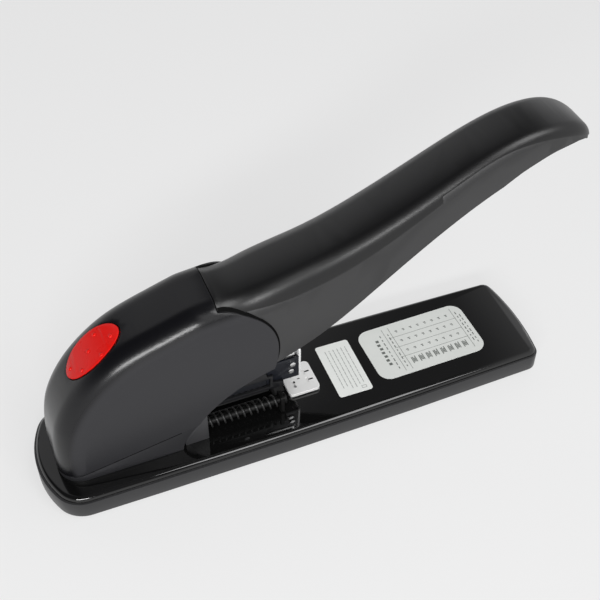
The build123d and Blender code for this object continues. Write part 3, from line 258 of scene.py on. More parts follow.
def makeSurfaceGroup(values):
    # patches of handling, fine grain and lighter rubbed edges
    group, inside, outside = newGroup(
        "surfaceBreakup",
        [
            ("Color", "NodeSocketColor", (0.5, 0.5, 0.5, 1)),
            ("Edge Color", "NodeSocketColor", (0.6, 0.6, 0.6, 1)),
            ("Edge Wear", "NodeSocketFloat", 0.2),
            ("Color Spread", "NodeSocketFloat", 0.1),
            ("Roughness", "NodeSocketFloat", 0.4),
            ("Roughness Spread", "NodeSocketFloat", 0.1),
            ("Patch Scale", "NodeSocketFloat", 40.0),
            ("Grain Scale", "NodeSocketFloat", 2500.0),
        ],
        [("Color", "NodeSocketColor"), ("Roughness", "NodeSocketFloat"), ("Height", "NodeSocketFloat")],
    )
    coordinates = group.nodes.new("ShaderNodeTexCoord").outputs["Object"]
    patch = addNoise(group, coordinates, inside.outputs["Patch Scale"], values["patchDetail"])
    grain = addNoise(group, coordinates, inside.outputs["Grain Scale"], values["grainDetail"])
    roughness = spreadAround(group, patch, inside.outputs["Roughness Spread"], inside.outputs["Roughness"])
    shade = spreadAround(group, patch, inside.outputs["Color Spread"], 1.0)
    tinted = group.nodes.new("ShaderNodeVectorMath")
    tinted.operation = "SCALE"
    group.links.new(inside.outputs["Color"], tinted.inputs[0])
    group.links.new(shade, tinted.inputs["Scale"])
    geometry = group.nodes.new("ShaderNodeNewGeometry")
    edge = group.nodes.new("ShaderNodeMapRange")
    edge.inputs["From Min"].default_value = values["rubbedFrom"]
    edge.inputs["From Max"].default_value = values["rubbedTo"]
    group.links.new(geometry.outputs["Pointiness"], edge.inputs["Value"])
    worn = addMath(group.nodes, group.links, "MULTIPLY", edge.outputs["Result"], patch)
    worn = addMath(group.nodes, group.links, "MULTIPLY", worn, inside.outputs["Edge Wear"], clamp=True)
    color = mixColors(group.nodes, group.links, worn, tinted.outputs["Vector"], inside.outputs["Edge Color"])
    group.links.new(color, outside.inputs["Color"])
    group.links.new(roughness, outside.inputs["Roughness"])
    group.links.new(grain, outside.inputs["Height"])
    return group


def makeBrushedGroup(values):
    # fine lines drawn out along X, for rolled and ground metal
    group, inside, outside = newGroup(
        "brushedLines",
        [
            ("Roughness", "NodeSocketFloat", 0.3),
            ("Roughness Spread", "NodeSocketFloat", 0.2),
            ("Line Scale", "NodeSocketFloat", 1800.0),
        ],
        [("Roughness", "NodeSocketFloat"), ("Height", "NodeSocketFloat")],
    )
    coordinates = group.nodes.new("ShaderNodeTexCoord").outputs["Object"]
    stretch = group.nodes.new("ShaderNodeMapping")
    stretch.inputs["Scale"].default_value = values["stretch"]
    group.links.new(coordinates, stretch.inputs["Vector"])
    lines = addNoise(group, stretch.outputs["Vector"], inside.outputs["Line Scale"], values["detail"])
    roughness = spreadAround(group, lines, inside.outputs["Roughness Spread"], inside.outputs["Roughness"])
    group.links.new(roughness, outside.inputs["Roughness"])
    group.links.new(lines, outside.inputs["Height"])
    return group


surfaceGroup = makeSurfaceGroup(surfaceValues)
brushedGroup = makeBrushedGroup(brushedValues)

# Finishes: what every one has unless it says otherwise, then one per slot and a few for single pieces
plainFinish = {
    "metal": 0.0, "ior": 1.5, "brushed": False, "grain": 0.08, "grainScale": 2600, "grainDepth": 0.05,
    "roughnessSpread": 0.1, "colorSpread": 0.12, "edgeWear": 0.25, "edgeGain": 2.2, "edgeLift": 0.03,
    "paintedSideLight": None, "crown": 0.0,
}
finishValues = {
    "tray": {"color": (0.02, 0.02, 0.021), "roughness": 0.36, "grain": 0.10, "grainScale": 1800},
    "rubber": {"color": (0.012, 0.012, 0.012), "roughness": 0.8, "grain": 0.2},
    "steel": {"color": (0.42, 0.42, 0.43), "roughness": 0.35, "metal": 1.0, "brushed": True},
    "screw": {"color": (0.5, 0.5, 0.5), "roughness": 0.3, "metal": 1.0, "brushed": True},
    "deck": {
        "color": (0.004, 0.004, 0.004), "roughness": 0.05, "roughnessSpread": 0.03, "ior": 1.56,
        "grain": 0.0,
    },
    "anvil": {"color": (0.74, 0.74, 0.73), "roughness": 0.4, "metal": 0.1, "brushed": True},
    "label": {"color": (0.66, 0.68, 0.65), "roughness": 0.4, "grain": 0.05, "colorSpread": 0.03},
    "labelBright": {"color": (0.76, 0.78, 0.75), "roughness": 0.4, "grain": 0.05, "colorSpread": 0.03},
    "labelInk": {"color": (0.1, 0.11, 0.1), "roughness": 0.5, "grain": 0.05},
    "cover": {
        "color": (0.0035, 0.0035, 0.0045), "roughness": 0.26, "grain": 0.03, "roughnessSpread": 0.05,
        # the flat sides' colour is painted light: paler than the top only to stand in for the light falling
        # on them
        "paintedSideLight": (0.021, 0.021, 0.0235), "sideRoughness": 0.5, "sideEdge": (0.0192, 0.0212),
        "ior": 1.43,
    },
    "skirt": {"color": (0.017, 0.017, 0.019), "roughness": 0.45, "grain": 0.05, "ior": 1.43},
    "handle_cap": {
        "color": (0.004, 0.004, 0.0042), "roughness": 0.33, "grain": 0.035, "roughnessSpread": 0.05,
        "crown": 8.0,
    },
    "handle_panel": {"color": (0.022, 0.022, 0.0225), "roughness": 0.5, "grain": 0.15, "grainScale": 1500},
    "spring": {"color": (0.012, 0.012, 0.012), "roughness": 0.35, "edgeWear": 0.0},
    "frame": {"color": (0.02, 0.02, 0.022), "roughness": 0.4},
    "carrier": {"color": (0.006, 0.006, 0.007), "roughness": 0.38, "ior": 1.4},
    "drawer": {"color": (0.007, 0.008, 0.012), "roughness": 0.3, "edgeWear": 0.3, "ior": 1.4},
    "chrome": {"color": (0.8, 0.8, 0.8), "roughness": 0.1, "metal": 1.0},
    "rivet": {"color": (0.8, 0.8, 0.8), "roughness": 0.18, "metal": 1.0},
    "staples": {"color": (0.6, 0.6, 0.6), "roughness": 0.3, "metal": 1.0, "brushed": True},
    "bracket": {"color": (0.03, 0.03, 0.032), "roughness": 0.42},
    "stop": {"color": (0.002, 0.002, 0.002), "roughness": 0.5, "ior": 1.3},
    "button": {
        "color": (0.72, 0.006, 0.003), "roughness": 0.28, "grain": 0.03, "ior": 1.33, "edgeWear": 0.0,
    },
    # seam: near black and hardly reflecting, painted shade laid into the gaps between parts and the anvil's
    # grooves
    "seam": {"color": (0.001, 0.001, 0.001), "roughness": 0.8, "grain": 0.0, "ior": 1.1},
    "labelInkPale": {"color": (0.3, 0.31, 0.3), "roughness": 0.5, "grain": 0.05},
    "brightPlate": {"color": (0.85, 0.85, 0.85), "roughness": 0.35, "metal": 0.25},
    # channel: the magazine channel painted near black, standing in for the shade inside the slot in the
    # carrier's side
    "channel": {"color": (0.012, 0.013, 0.016), "roughness": 0.4, "grain": 0.05, "ior": 1.35},
}


def sideways(nodes, links):
    # how far out a point lies from the middle plane, with its sign
    split = nodes.new("ShaderNodeSeparateXYZ")
    links.new(nodes.new("ShaderNodeTexCoord").outputs["Object"], split.inputs["Vector"])
    return split.outputs["Y"]


def crownNormal(nodes, links, crown):
    # a shallow crown across a flat top, its height falling with the square of Y
    across = sideways(nodes, links)
    square = addMath(nodes, links, "MULTIPLY", across, across)
    bump = nodes.new("ShaderNodeBump")
    bump.inputs["Distance"].default_value = 1.0
    links.new(addMath(nodes, links, "MULTIPLY", square, -crown), bump.inputs["Height"])
    return bump.outputs["Normal"]


def sideShare(nodes, links, edge):
    # 0 on the top and its rounded edges, 1 on the flat sides
    distance = addMath(nodes, links, "ABSOLUTE", sideways(nodes, links))
    return smoothRange(nodes, links, distance, edge)


def makeFinish(name, values):
    material = bpy.data.materials.new(name + "Finish")
    material.use_nodes = True
    nodes, links = material.node_tree.nodes, material.node_tree.links
    shader = nodes["Principled BSDF"]
    color = values["color"]
    edgeColor = [min(1.0, part * values["edgeGain"] + values["edgeLift"]) for part in color]
    surface = nodes.new("ShaderNodeGroup")
    surface.node_tree = surfaceGroup
    surface.inputs["Color"].default_value = (*color, 1)
    surface.inputs["Edge Color"].default_value = (*edgeColor, 1)
    surface.inputs["Edge Wear"].default_value = values["edgeWear"]
    surface.inputs["Color Spread"].default_value = values["colorSpread"]
    surface.inputs["Roughness"].default_value = values["roughness"]
    surface.inputs["Roughness Spread"].default_value = values["roughnessSpread"]
    surface.inputs["Grain Scale"].default_value = values["grainScale"]
    baseColor = surface.outputs["Color"]
    height, roughness = surface.outputs["Height"], surface.outputs["Roughness"]
    if values["paintedSideLight"]:
        # the flat sides are painted paler than the top, standing in for the light that falls on them, and are
        # rougher than the polished top
        side = sideShare(nodes, links, values["sideEdge"])
        baseColor = mixColors(nodes, links, side, baseColor, values["paintedSideLight"])
        rougher = nodes.new("ShaderNodeMapRange")
        links.new(side, rougher.inputs["Value"])
        links.new(roughness, rougher.inputs["To Min"])
        rougher.inputs["To Max"].default_value = values["sideRoughness"]
        roughness = rougher.outputs["Result"]
    links.new(baseColor, shader.inputs["Base Color"])
    if values["brushed"]:
        lines = nodes.new("ShaderNodeGroup")
        lines.node_tree = brushedGroup
        lines.inputs["Roughness"].default_value = values["roughness"]
        height, roughness = lines.outputs["Height"], lines.outputs["Roughness"]
    links.new(roughness, shader.inputs["Roughness"])
    shader.inputs["Metallic"].default_value = values["metal"]
    shader.inputs["IOR"].default_value = values["ior"]
    if values["grain"]:
        bump = nodes.new("ShaderNodeBump")
        bump.inputs["Strength"].default_value = values["grain"]
        bump.inputs["Distance"].default_value = values["grainDepth"] * mm
        links.new(height, bump.inputs["Height"])
        links.new(bump.outputs["Normal"], shader.inputs["Normal"])
        if values["crown"]:
            links.new(crownNormal(nodes, links, values["crown"]), bump.inputs["Normal"])
    return material


finishes = {name: makeFinish(name, {**plainFinish, **values}) for name, values in finishValues.items()}
# nodes whose look differs from the rest of their slot
finishOfNode = {
    **slotOfNode,
    "stop_rods": "stop",
    "front_plate": "brightPlate",
    "magazine_channel": "channel",
    "small_label": "labelBright",
}

for nodeName, node in frame["nodes"].items():
    node.data.materials.clear()
    node.data.materials.append(finishes[finishOfNode[nodeName]])
print("finishes assigned to", len(frame["nodes"]), "nodes")


# Cleaned copies of the moulded and pressed parts: smooth curved faces, small rounded edges
dressValues = {"weld": 0.002, "flatAngle": 0.4, "segments": 2, "sharpAngle": 40, "smoothAngle": 32}
# millimetres taken off the edges of each
edgeRounds = {
    "base_tray": 0.25,
    "base_deck": 0.0,
    "anvil_plate": 0.0,
    "rear_cover": 0.18,
    "cover_skirt": 0.12,
    "handle_cap": 0.18,
    "handle_shell": 0.2,
    "magazine_carrier": 0.15,
    "driver_guide": 0.12,
    "drawer_block": 0.25,
    "front_plate": 0.15,
    "drawer_rivets": 0.3,
    "stop_bracket": 0.25,
    "stop_rods": 0.3,
    "paper_stop": 0.15,
    "release_button": 0.3,
    "driver_holder": 0.2,
    "rubber_feet": 0.0,
    "handle_lever": 0.2,
    "magazine_channel": 0.1,
    "staple_rail": 0.1,
    "staple_pusher": 0.2,
    "main_frame": 0.15,
    "small_label": 0.0,
    "table_label": 0.0,
}


def dressNode(nodeName, edgeRound, values):
    node = frame["nodes"][nodeName]
    piece = node.copy()
    piece.data = node.data.copy()
    bpy.context.scene.collection.objects.link(piece)
    piece.parent = None
    piece.matrix_world = Matrix.Identity(4)
    piece.name = nodeName + "Dressed"
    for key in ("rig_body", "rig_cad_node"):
        del piece[key]
    onlySelect(piece)
    bpy.ops.object.mode_set(mode="EDIT")
    bpy.ops.mesh.select_all(action="SELECT")
    bpy.ops.mesh.customdata_custom_splitnormals_clear()
    bpy.ops.mesh.remove_doubles(threshold=values["weld"] * mm)
    bpy.ops.mesh.dissolve_limited(angle_limit=math.radians(values["flatAngle"]))
    bpy.ops.object.mode_set(mode="OBJECT")
    if edgeRound:
        bevel = piece.modifiers.new("round", "BEVEL")
        bevel.width = edgeRound * mm
        bevel.segments = values["segments"]
        bevel.limit_method = "ANGLE"
        bevel.angle_limit = math.radians(values["sharpAngle"])
        bevel.harden_normals = False
        bpy.ops.object.modifier_apply(modifier=bevel.name)
    bpy.ops.object.shade_smooth_by_angle(angle=math.radians(values["smoothAngle"]))
    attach(piece, node["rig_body"])
    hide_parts(nodeName)
    return piece


dressed = {name: dressNode(name, edgeRound, dressValues) for name, edgeRound in edgeRounds.items()}
print("dressed", len(dressed), "nodes")

# The grip's end, as (x, z) points: its underside as built, the same line lifted, and the seam above it
tipValues = {
    "startX": 107.0,
    "under": [
        (107, 134.6), (114, 138.0), (124, 141.8), (133, 143.3),
        (142, 143.7), (148, 142.8), (154.5, 140.6), (160, 139),
    ],
    "lifted": [
        (107, 134.6), (114, 139.4), (124, 144.2), (133, 147.2),
        (142, 148.6), (148, 148.8), (154.5, 146.6), (160, 142),
    ],
    "seam": [
        (107, 154.2), (118, 156.0), (128, 156.4), (137, 155.4), (145, 153.0), (152, 149.0), (160, 142.7),
    ],
    "leastHeight": 1.2,
}


def heightAt(points, x):
    for (x0, z0), (x1, z1) in zip(points, points[1:]):
        if x <= x1:
            return z0 + (z1 - z0) * max(0.0, x - x0) / (x1 - x0)
    return points[-1][1]


def taperTip(piece, values):
    # draw the underside of the grip's end up towards the seam, so that the tip runs out thin
    for vertex in piece.data.vertices:
        x, z = vertex.co.x / mm, vertex.co.z / mm
        seam = heightAt(values["seam"], x)
        if x < values["startX"] or z >= seam:
            continue
        under = heightAt(values["under"], x)
        lifted = min(heightAt(values["lifted"], x), seam - values["leastHeight"])
        vertex.co.z = (seam - (seam - z) * (seam - lifted) / (seam - under)) * mm


taperTip(dressed["handle_shell"], tipValues)

# The line where cover and skirt meet: as built, how far it drops, and how far up the cover gives way
partingValues = {
    "seam": [(-133, 22.0), (-69, 35.0)],
    "drop": [(-133, 4.0), (-69, 5.4)],
    "reach": 26.0,
    "deckTop": 15.0,
}


def lineAt(points, x):
    (x0, z0), (x1, z1) = points
    return z0 + (z1 - z0) * (x - x0) / (x1 - x0)


def lowerParting(cover, skirt, values):
    # slide the line where cover and skirt meet down their flat sides
    for piece in (cover, skirt):
        for vertex in piece.data.vertices:
            x, z = vertex.co.x / mm, vertex.co.z / mm
            seam = lineAt(values["seam"], x)
            if piece == cover:
                share = (seam + values["reach"] - z) / values["reach"]
            else:
                share = (z - values["deckTop"]) / (seam - values["deckTop"])
            vertex.co.z -= lineAt(values["drop"], x) * max(0.0, min(1.0, share)) * mm


lowerParting(dressed["rear_cover"], dressed["cover_skirt"], partingValues)
print("grip end and parting line drawn")

# Helpers for the modelled pieces
wireValues = {"ringPoints": 10, "stepsPerTurn": 22, "smoothAngle": 50}
stripValues = {"smoothAngle": 40}


def useFinish(piece, name):
    piece.data.materials.clear()
    piece.data.materials.append(finishes[name])


def applyPlace(piece):
    onlySelect(piece)
    bpy.ops.object.transform_apply(location=True, rotation=True, scale=True)


def surfaceFrom(target, start, direction):
    # the first point of the target's skin along a ray, in metres
    hit, place, normal, _ = target.ray_cast(Vector(start), Vector(direction).normalized())
    return (place, normal) if hit else (None, None)


def joinPieces(parts, name):
    bpy.ops.object.select_all(action="DESELECT")
    for part in parts:
        part.select_set(True)
    bpy.context.view_layer.objects.active = parts[0]
    bpy.ops.object.join()
    piece = bpy.context.object
    piece.name = name
    return piece


def finishWire(piece, start, axis):
    # a wire piece made along Z is smoothed, turned onto its axis and moved to its start
    bpy.ops.object.shade_smooth_by_angle(angle=math.radians(wireValues["smoothAngle"]))
    piece.rotation_euler = Vector(axis).to_track_quat("Z", "Y").to_euler()
    piece.location = Vector(start) * mm
    applyPlace(piece)
    useFinish(piece, "spring")


def makeCoil(name, start, axis, length, radius, wireRadius, turns):
    # a wire ring wound round Z by a screw, closed with flat ends, then turned onto its axis
    bpy.ops.mesh.primitive_circle_add(
        vertices=wireValues["ringPoints"], radius=wireRadius * mm, rotation=(math.pi / 2, 0, 0)
    )
    piece = bpy.context.object
    piece.name = name
    applyPlace(piece)
    bpy.ops.object.mode_set(mode="EDIT")
    bpy.ops.mesh.select_all(action="SELECT")
    bpy.ops.transform.translate(value=(radius * mm, 0, 0))
    bpy.ops.object.mode_set(mode="OBJECT")
    wind = piece.modifiers.new("wind", "SCREW")
    wind.axis = "Z"
    wind.iterations = turns
    wind.screw_offset = length * mm / turns
    wind.steps = wireValues["stepsPerTurn"]
    wind.render_steps = wireValues["stepsPerTurn"]
    bpy.ops.object.modifier_apply(modifier=wind.name)
    bpy.ops.object.mode_set(mode="EDIT")
    bpy.ops.mesh.select_all(action="SELECT")
    bpy.ops.mesh.fill_holes(sides=wireValues["ringPoints"])
    bpy.ops.mesh.normals_make_consistent(inside=False)
    bpy.ops.object.mode_set(mode="OBJECT")
    finishWire(piece, start, axis)
    return piece


def makeShadeStrip(name, near, far, thickness):
    # a thin dark strip of painted shade between two rows of points, given in metres
    count = len(near)
    bpy.ops.mesh.primitive_grid_add(x_subdivisions=count - 1, y_subdivisions=1, size=1)
    piece = bpy.context.object
    piece.name = name
    rows = sorted(piece.data.vertices, key=lambda vertex: (round(vertex.co.y, 3), vertex.co.x))
    for vertex, place in zip(rows, list(near) + list(far)):
        vertex.co = place
    thicken = piece.modifiers.new("thicken", "SOLIDIFY")
    thicken.thickness = thickness * mm
    thicken.offset = 0
    onlySelect(piece)
    bpy.ops.object.modifier_apply(modifier=thicken.name)
    bpy.ops.object.mode_set(mode="EDIT")
    bpy.ops.mesh.select_all(action="SELECT")
    bpy.ops.mesh.normals_make_consistent(inside=False)
    bpy.ops.object.mode_set(mode="OBJECT")
    bpy.ops.object.shade_smooth_by_angle(angle=math.radians(stripValues["smoothAngle"]))
    useFinish(piece, "seam")
    return piece


def makeMarks(name, spots, values, finish):
    # flat marks, printing on the labels and painted shade on the anvil: (x, y, length, width) on a face
    # turned about its centre, in millimetres
    bpy.ops.mesh.primitive_plane_add(size=1)
    master = bpy.context.object
    bpy.ops.object.mode_set(mode="EDIT")
    bpy.ops.mesh.select_all(action="SELECT")
    bpy.ops.mesh.extrude_region_move(TRANSFORM_OT_translate={"value": (0, 0, values["thickness"] * mm)})
    bpy.ops.mesh.select_all(action="SELECT")
    bpy.ops.mesh.normals_make_consistent(inside=False)
    bpy.ops.object.mode_set(mode="OBJECT")
    parts = []
    for x, y, length, width in spots:
        part = master.copy()
        part.data = master.data.copy()
        bpy.context.scene.collection.objects.link(part)
        part.scale = (length * mm, width * mm, 1)
        part.location = (x * mm, y * mm, 0)
        parts.append(part)
    bpy.data.objects.remove(master)
    piece = joinPieces(parts, name)
    applyPlace(piece)
    piece.rotation_euler = (0, 0, math.radians(values["turn"]))
    piece.location = (values["centre"][0] * mm, values["centre"][1] * mm, values["height"] * mm)
    applyPlace(piece)
    useFinish(piece, finish)
    return piece


# Springs; "kept" is the share of a squashed spring's length left at the joint's far end
def makeSquashedSprings(springs):
    for name, values in springs.items():
        start, axis = values["start"], values["axis"]
        length, radius = values["length"], values["radius"]
        coil = makeCoil(name, start, axis, length, radius, values["wire"], values["turns"])
        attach(coil, values["body"])
        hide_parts(values["node"])
        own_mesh(coil)


stopSpring = {
    "node": "stop_springs", "body": "base", "axis": (1, 0, 0),
    "length": 40.0, "radius": 3.25, "wire": 0.55, "turns": 11, "joint": "stop_slide", "kept": 0.45,
}
stopSprings = {
    "nearStopSpring": {**stopSpring, "start": (-53.6, -14.5, 23.0)},
    "farStopSpring": {**stopSpring, "start": (-53.6, 14.5, 23.0)},
}
makeSquashedSprings(stopSprings)

handleSpringValues = {
    "x": -47.0,
    "z": 72.4,
    "half": 5.75,
    "radius": 7.2,
    "wire": 1.0,
    "turns": 5,
    "hook": 24.0,
    "leg": 37.0,
    "legSlope": 28.5,
}


def makeHandleSpring(values):
    # the coil and its short hook stay with the base, the long leg lies in the handle
    x, z, half, radius = values["x"], values["z"], values["half"], values["radius"]
    wire = values["wire"]
    coil = makeCoil("handleSpringCoil", (x, -half, z), (0, 1, 0), 2 * half, radius, wire, values["turns"])
    slope = math.radians(values["legSlope"])
    legStart = (x - radius * math.sin(slope), half, z + radius * math.cos(slope))
    legs = []
    for name, start, aim, length in (
        ("hook", (x, -half, z - radius), (-1, 0, 0), values["hook"]),
        ("leg", legStart, (math.cos(slope), 0, math.sin(slope)), values["leg"]),
    ):
        bpy.ops.mesh.primitive_circle_add(
            vertices=wireValues["ringPoints"], radius=wire * mm, fill_type="NGON"
        )
        leg = bpy.context.object
        leg.name = "handleSpring" + name.title()
        bpy.ops.object.mode_set(mode="EDIT")
        bpy.ops.mesh.select_all(action="SELECT")
        bpy.ops.mesh.extrude_region_move(TRANSFORM_OT_translate={"value": (0, 0, length * mm)})
        bpy.ops.mesh.select_all(action="SELECT")
        bpy.ops.mesh.normals_make_consistent(inside=False)
        bpy.ops.object.mode_set(mode="OBJECT")
        finishWire(leg, start, aim)
        legs.append(leg)
    for piece, body in ((coil, "base"), (legs[0], "base"), (legs[1], "handle")):
        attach(piece, body)
        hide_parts("handle_spring")


makeHandleSpring(handleSpringValues)

smallSprings = {
    "pusherCoil": {
        "node": "pusher_spring", "body": "drawer", "start": (-89.5, 0, 36.0), "axis": (1, 0, 0),
        "length": 37.7, "radius": 2.7, "wire": 0.45, "turns": 17, "joint": "pusher_feed", "kept": 0.35,
    },
    "liftCoil": {
        "node": "magazine_spring", "body": "base", "start": (-84.0, 0, 14.7), "axis": (0, 0, 1),
        "length": 14.6, "radius": 4.8, "wire": 0.7, "turns": 5, "joint": "handle_press", "kept": 0.86,
    },
    "buttonCoil": {
        "node": "button_spring", "body": "base", "start": (-91.96, 0, 71.67), "axis": (-0.6691, 0, 0.7431),
        "length": 12.0, "radius": 5.6, "wire": 0.5, "turns": 5, "joint": "button_press", "kept": 0.77,
    },
}
makeSquashedSprings(smallSprings)
print("springs wound")

# Button: raised dots, given as (up the face, across it), and a dark ring of painted shade in the gap round it
buttonValues = {
    "x": -103.6,
    "z": 84.6,
    "slope": 42.0,
    "half": (17.8, 10.4),
    "rayHeight": 10.0,
    "dots": [(13.1, -1.7), (5.6, 5.9), (-0.7, -0.1), (5.4, -8.0), (-14.6, 0.9), (-7.9, -6.6)],
    "dotRadius": 1.15,
    "dotHeight": 0.7,
    "dotSegments": 16,
    "dotRings": 8,
    "gapPoints": 72,
    "gapInset": 0.35,
    "gapStart": 0.02,
    "gapWidth": 0.46,
    "gapDepth": 0.75,
    "gapThickness": 0.2,
}


def buttonAxes(values):
    # the middle of the face, then the ways up it, across it and out of it
    slope = math.radians(values["slope"])
    centre = Vector((values["x"], 0, values["z"])) * mm
    up = Vector((math.cos(slope), 0, math.sin(slope)))
    out = Vector((-math.sin(slope), 0, math.cos(slope)))
    return centre, up, Vector((0, 1, 0)), out


def onButton(values, along, side):
    centre, up, across, out = buttonAxes(values)
    start = centre + (up * along + across * side + out * values["rayHeight"]) * mm
    return surfaceFrom(dressed["release_button"], start, -out)


def makeButtonDots(values):
    bpy.ops.mesh.primitive_uv_sphere_add(
        segments=values["dotSegments"], ring_count=values["dotRings"], radius=values["dotRadius"] * mm
    )
    master = bpy.context.object
    master.scale = (1, 1, values["dotHeight"] / values["dotRadius"])
    applyPlace(master)
    bpy.ops.object.shade_smooth()
    dots = []
    for along, side in values["dots"]:
        place, normal = onButton(values, along, side)
        dot = master.copy()
        dot.data = master.data.copy()
        bpy.context.scene.collection.objects.link(dot)
        dot.location = place
        dot.rotation_euler = normal.to_track_quat("Z", "Y").to_euler()
        dots.append(dot)
    bpy.data.objects.remove(master)
    piece = joinPieces(dots, "buttonDots")
    applyPlace(piece)
    useFinish(piece, "button")
    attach(piece, "button")


def makeButtonGapShade(values):
    # a dark ring of painted shade in the gap, a little under the button's face all the way round
    centre, up, across, out = buttonAxes(values)
    near, far = [], []
    for step in range(values["gapPoints"] + 1):
        angle = 2 * math.pi * step / values["gapPoints"]
        wide, tall = (half - values["gapInset"] for half in values["half"])
        place, _ = onButton(values, wide * math.cos(angle), tall * math.sin(angle))
        depth = (place - centre).dot(out) - values["gapDepth"] * mm
        for row, extra in ((near, 0.0), (far, values["gapWidth"])):
            wide, tall = (half + values["gapStart"] + extra for half in values["half"])
            rim = (up * wide * math.cos(angle) + across * tall * math.sin(angle)) * mm
            row.append(centre + rim + out * depth)
    ring = makeShadeStrip("buttonGapShade", near, far, values["gapThickness"])
    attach(ring, "base")


makeButtonDots(buttonValues)
makeButtonGapShade(buttonValues)
print("button finished")

# Painted shade: dark strips in the gaps where the shells meet, round the handle's ears and along the skirt's
# top edge
earSeamShadeValues = {
    "pivot": (-47.0, 72.4),
    "radius": 32.0,
    "angles": (-21.0, 84.0),
    "steps": 60,
    "inside": 0.4,
    "outside": 1.0,
    "sunk": 0.5,
    "raised": 0.03,
    "thickness": 0.05,
    "rayY": 60.0,
}


def makeEarSeamShades(values):
    # a dark strip of painted shade in the gap between cover and handle round each ear
    pivotX, pivotZ = values["pivot"]
    cover = dressed["rear_cover"]
    startAngle, endAngle = values["angles"]
    for side, name in ((-1, "nearEarSeamShade"), (1, "farEarSeamShade")):
        near, far = [], []
        for step in range(values["steps"] + 1):
            angle = math.radians(startAngle + (endAngle - startAngle) * step / values["steps"])
            ray = Vector((math.cos(angle), 0, math.sin(angle)))
            centre = Vector((pivotX, side * values["rayY"], pivotZ)) * mm
            inner = centre + ray * (values["radius"] - values["inside"]) * mm
            onCover, _ = surfaceFrom(cover, inner, (0, -side, 0))
            outer = centre + ray * (values["radius"] + values["outside"]) * mm
            onHandle = None
            for target in ("handle_cap", "handle_shell"):
                place, _ = surfaceFrom(dressed[target], outer, (0, -side, 0))
                if place is not None and (onHandle is None or abs(place.y) > abs(onHandle.y)):
                    onHandle = place
            if onCover is None or onHandle is None:
                continue
            near.append(onCover - Vector((0, side * values["sunk"] * mm, 0)))
            far.append(onHandle + Vector((0, side * values["raised"] * mm, 0)))
        strip = makeShadeStrip(name, near, far, values["thickness"])
        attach(strip, "base")


makeEarSeamShades(earSeamShadeValues)

partingShadeValues = {
    "start": (-132.6, 22.0),
    "slope": 11.5,
    "endX": -69.0,
    "margin": 6.0,
    "steps": 48,
    "top": 0.02,
    "bottom": 0.75,
    "raised": 0.03,
    "thickness": 0.04,
    "rayY": 60.0,
}


def makePartingShades(values):
    # a dark strip of painted shade just under the line where cover and skirt meet, on both sides
    skirt = dressed["cover_skirt"]
    startX, startZ = values["start"]
    rise = math.tan(math.radians(values["slope"]))
    firstX = startX + values["margin"]
    for side, name in ((-1, "nearPartingShade"), (1, "farPartingShade")):
        near, far = [], []
        for step in range(values["steps"] + 1):
            x = firstX + (values["endX"] - firstX) * step / values["steps"]
            z = startZ + (x - startX) * rise - lineAt(partingValues["drop"], x)
            for row, drop in ((near, values["top"]), (far, values["bottom"])):
                start = Vector((x, side * values["rayY"], z - drop)) * mm
                place, _ = surfaceFrom(skirt, start, (0, -side, 0))
                row.append(place)
        out = Vector((0, side * values["raised"] * mm, 0))
        pairs = [(a + out, b + out) for a, b in zip(near, far) if a is not None and b is not None]
        strip = makeShadeStrip(name, [a for a, _ in pairs], [b for _, b in pairs], values["thickness"])
        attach(strip, "base")


makePartingShades(partingShadeValues)
print("seams drawn")

# Plain printing on the two labels, and painted shade in the anvil's grooves, in millimetres; a mark is (x, y,
# length, width)
tableValues = {
    "height": 15.25,
    "thickness": 0.04,
    "centre": (80.0, 0.9),
    "turn": 0.6,
    "columns": [-9.9 + 4.6 * step for step in range(8)],
    "rows": (12.2, 4.8, -2.9),
    # two short marks in every cell, and four bars at the foot of every column
    "cell": [(0.0, 0.5, 1.4, 0.55), (0.2, -0.4, 0.9, 0.55)],
    "foot": [
        (-0.9, -11.2, 0.5, 4.6), (-0.15, -10.7, 0.5, 3.8), (0.6, -11.2, 0.5, 3.0), (1.35, -10.7, 0.5, 4.6),
    ],
    "rules": [
        (5.4, 8.6, 43.0, 0.18), (5.4, 0.9, 43.0, 0.18), (5.4, -6.6, 43.0, 0.18),
        (-13.4, 0, 0.22, 33.0), (-17.4, 0, 0.22, 33.0), (26.6, 0.5, 0.22, 32.0),
    ],
    # lines of marks across the ends: x, place in the pattern, half width of the line
    "endLines": [(-15.4, 0, 15.5), (-20.2, 1, 15.5), (28.6, 2, 12.5), (30.4, 4, 12.5)],
    "endMarks": {
        "count": 9, "first": -13.4, "step": 3.1, "shift": 0.3,
        "length": 0.55, "width": 1.2, "grow": 0.35, "widths": 4,
    },
    "blocks": [(-23.4 - 0.3 * (step % 2), -9.0 + 3.0 * step, 1.9, 1.7) for step in range(7)],
}


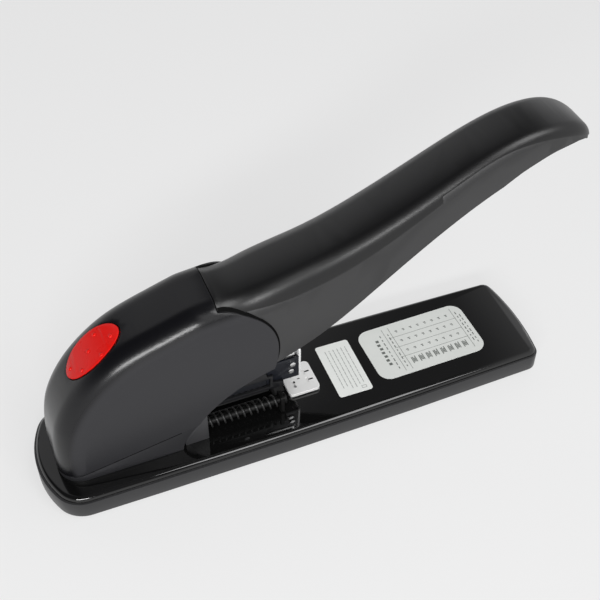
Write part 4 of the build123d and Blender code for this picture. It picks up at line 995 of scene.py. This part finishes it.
def makeTableMarks(values):
    spots = []
    for x in values["columns"]:
        for y in values["rows"]:
            spots += [(x + dx, y + dy, length, width) for dx, dy, length, width in values["cell"]]
        spots += [(x + dx, y, length, width) for dx, y, length, width in values["foot"]]
    spots += values["rules"]
    marks = values["endMarks"]
    for x, phase, halfWidth in values["endLines"]:
        for step in range(marks["count"]):
            y = marks["first"] + marks["step"] * step + marks["shift"] * phase
            if abs(y) < halfWidth:
                width = marks["width"] + marks["grow"] * ((step + phase) % marks["widths"])
                spots.append((x, y, marks["length"], width))
    spots += values["blocks"]
    piece = makeMarks("tableMarks", spots, values, "labelInk")
    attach(piece, "base")


makeTableMarks(tableValues)

smallLabelValues = {
    "height": 15.25,
    "thickness": 0.04,
    "centre": (30.9, -0.9),
    "turn": -1.1,
    "lines": (6.6, 4.2, 1.8, -0.6, -3.0, -5.4),
    "lineWidth": 0.42,
    "top": 14.6,
    "bottom": -13.5,
    "bar": 1.0,
    "grow": 0.7,
    "lengths": 4,
    "stride": 7,
    "space": 0.5,
    "frame": [(5.6, -15.6, 2.4, 0.3), (5.6, -17.2, 2.4, 0.3), (4.3, -16.4, 0.3, 1.9), (6.9, -16.4, 0.3, 1.9)],
}


def makeSmallMarks(values):
    # each line is a run of bars whose lengths go round a short pattern, then comes one small frame
    spots = []
    for line, x in enumerate(values["lines"]):
        y = values["top"]
        step = line
        while y > values["bottom"]:
            length = values["bar"] + values["grow"] * (step * values["stride"] % values["lengths"])
            spots.append((x, y - length / 2, values["lineWidth"], length))
            y -= length + values["space"]
            step += 1
    spots += values["frame"]
    piece = makeMarks("smallMarks", spots, values, "labelInkPale")
    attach(piece, "base")


makeSmallMarks(smallLabelValues)

# dark patches of painted shade, standing in for the shade inside the anvil's forming grooves and recesses
anvilGrooveShadeValues = {
    "height": 17.5,
    "thickness": 0.02,
    "centre": (0.0, 0.0),
    "turn": 0.0,
    "spots": [(10.1, 2.9, 2.6, 0.9), (10.1, -3.1, 2.6, 0.9), (0.7, -2.2, 0.9, 1.3), (3.8, -0.5, 1.5, 0.6)],
}
anvilGrooveShade = makeMarks("anvilGrooveShade", anvilGrooveShadeValues["spots"], anvilGrooveShadeValues, "seam")
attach(anvilGrooveShade, "base")
print("labels printed")
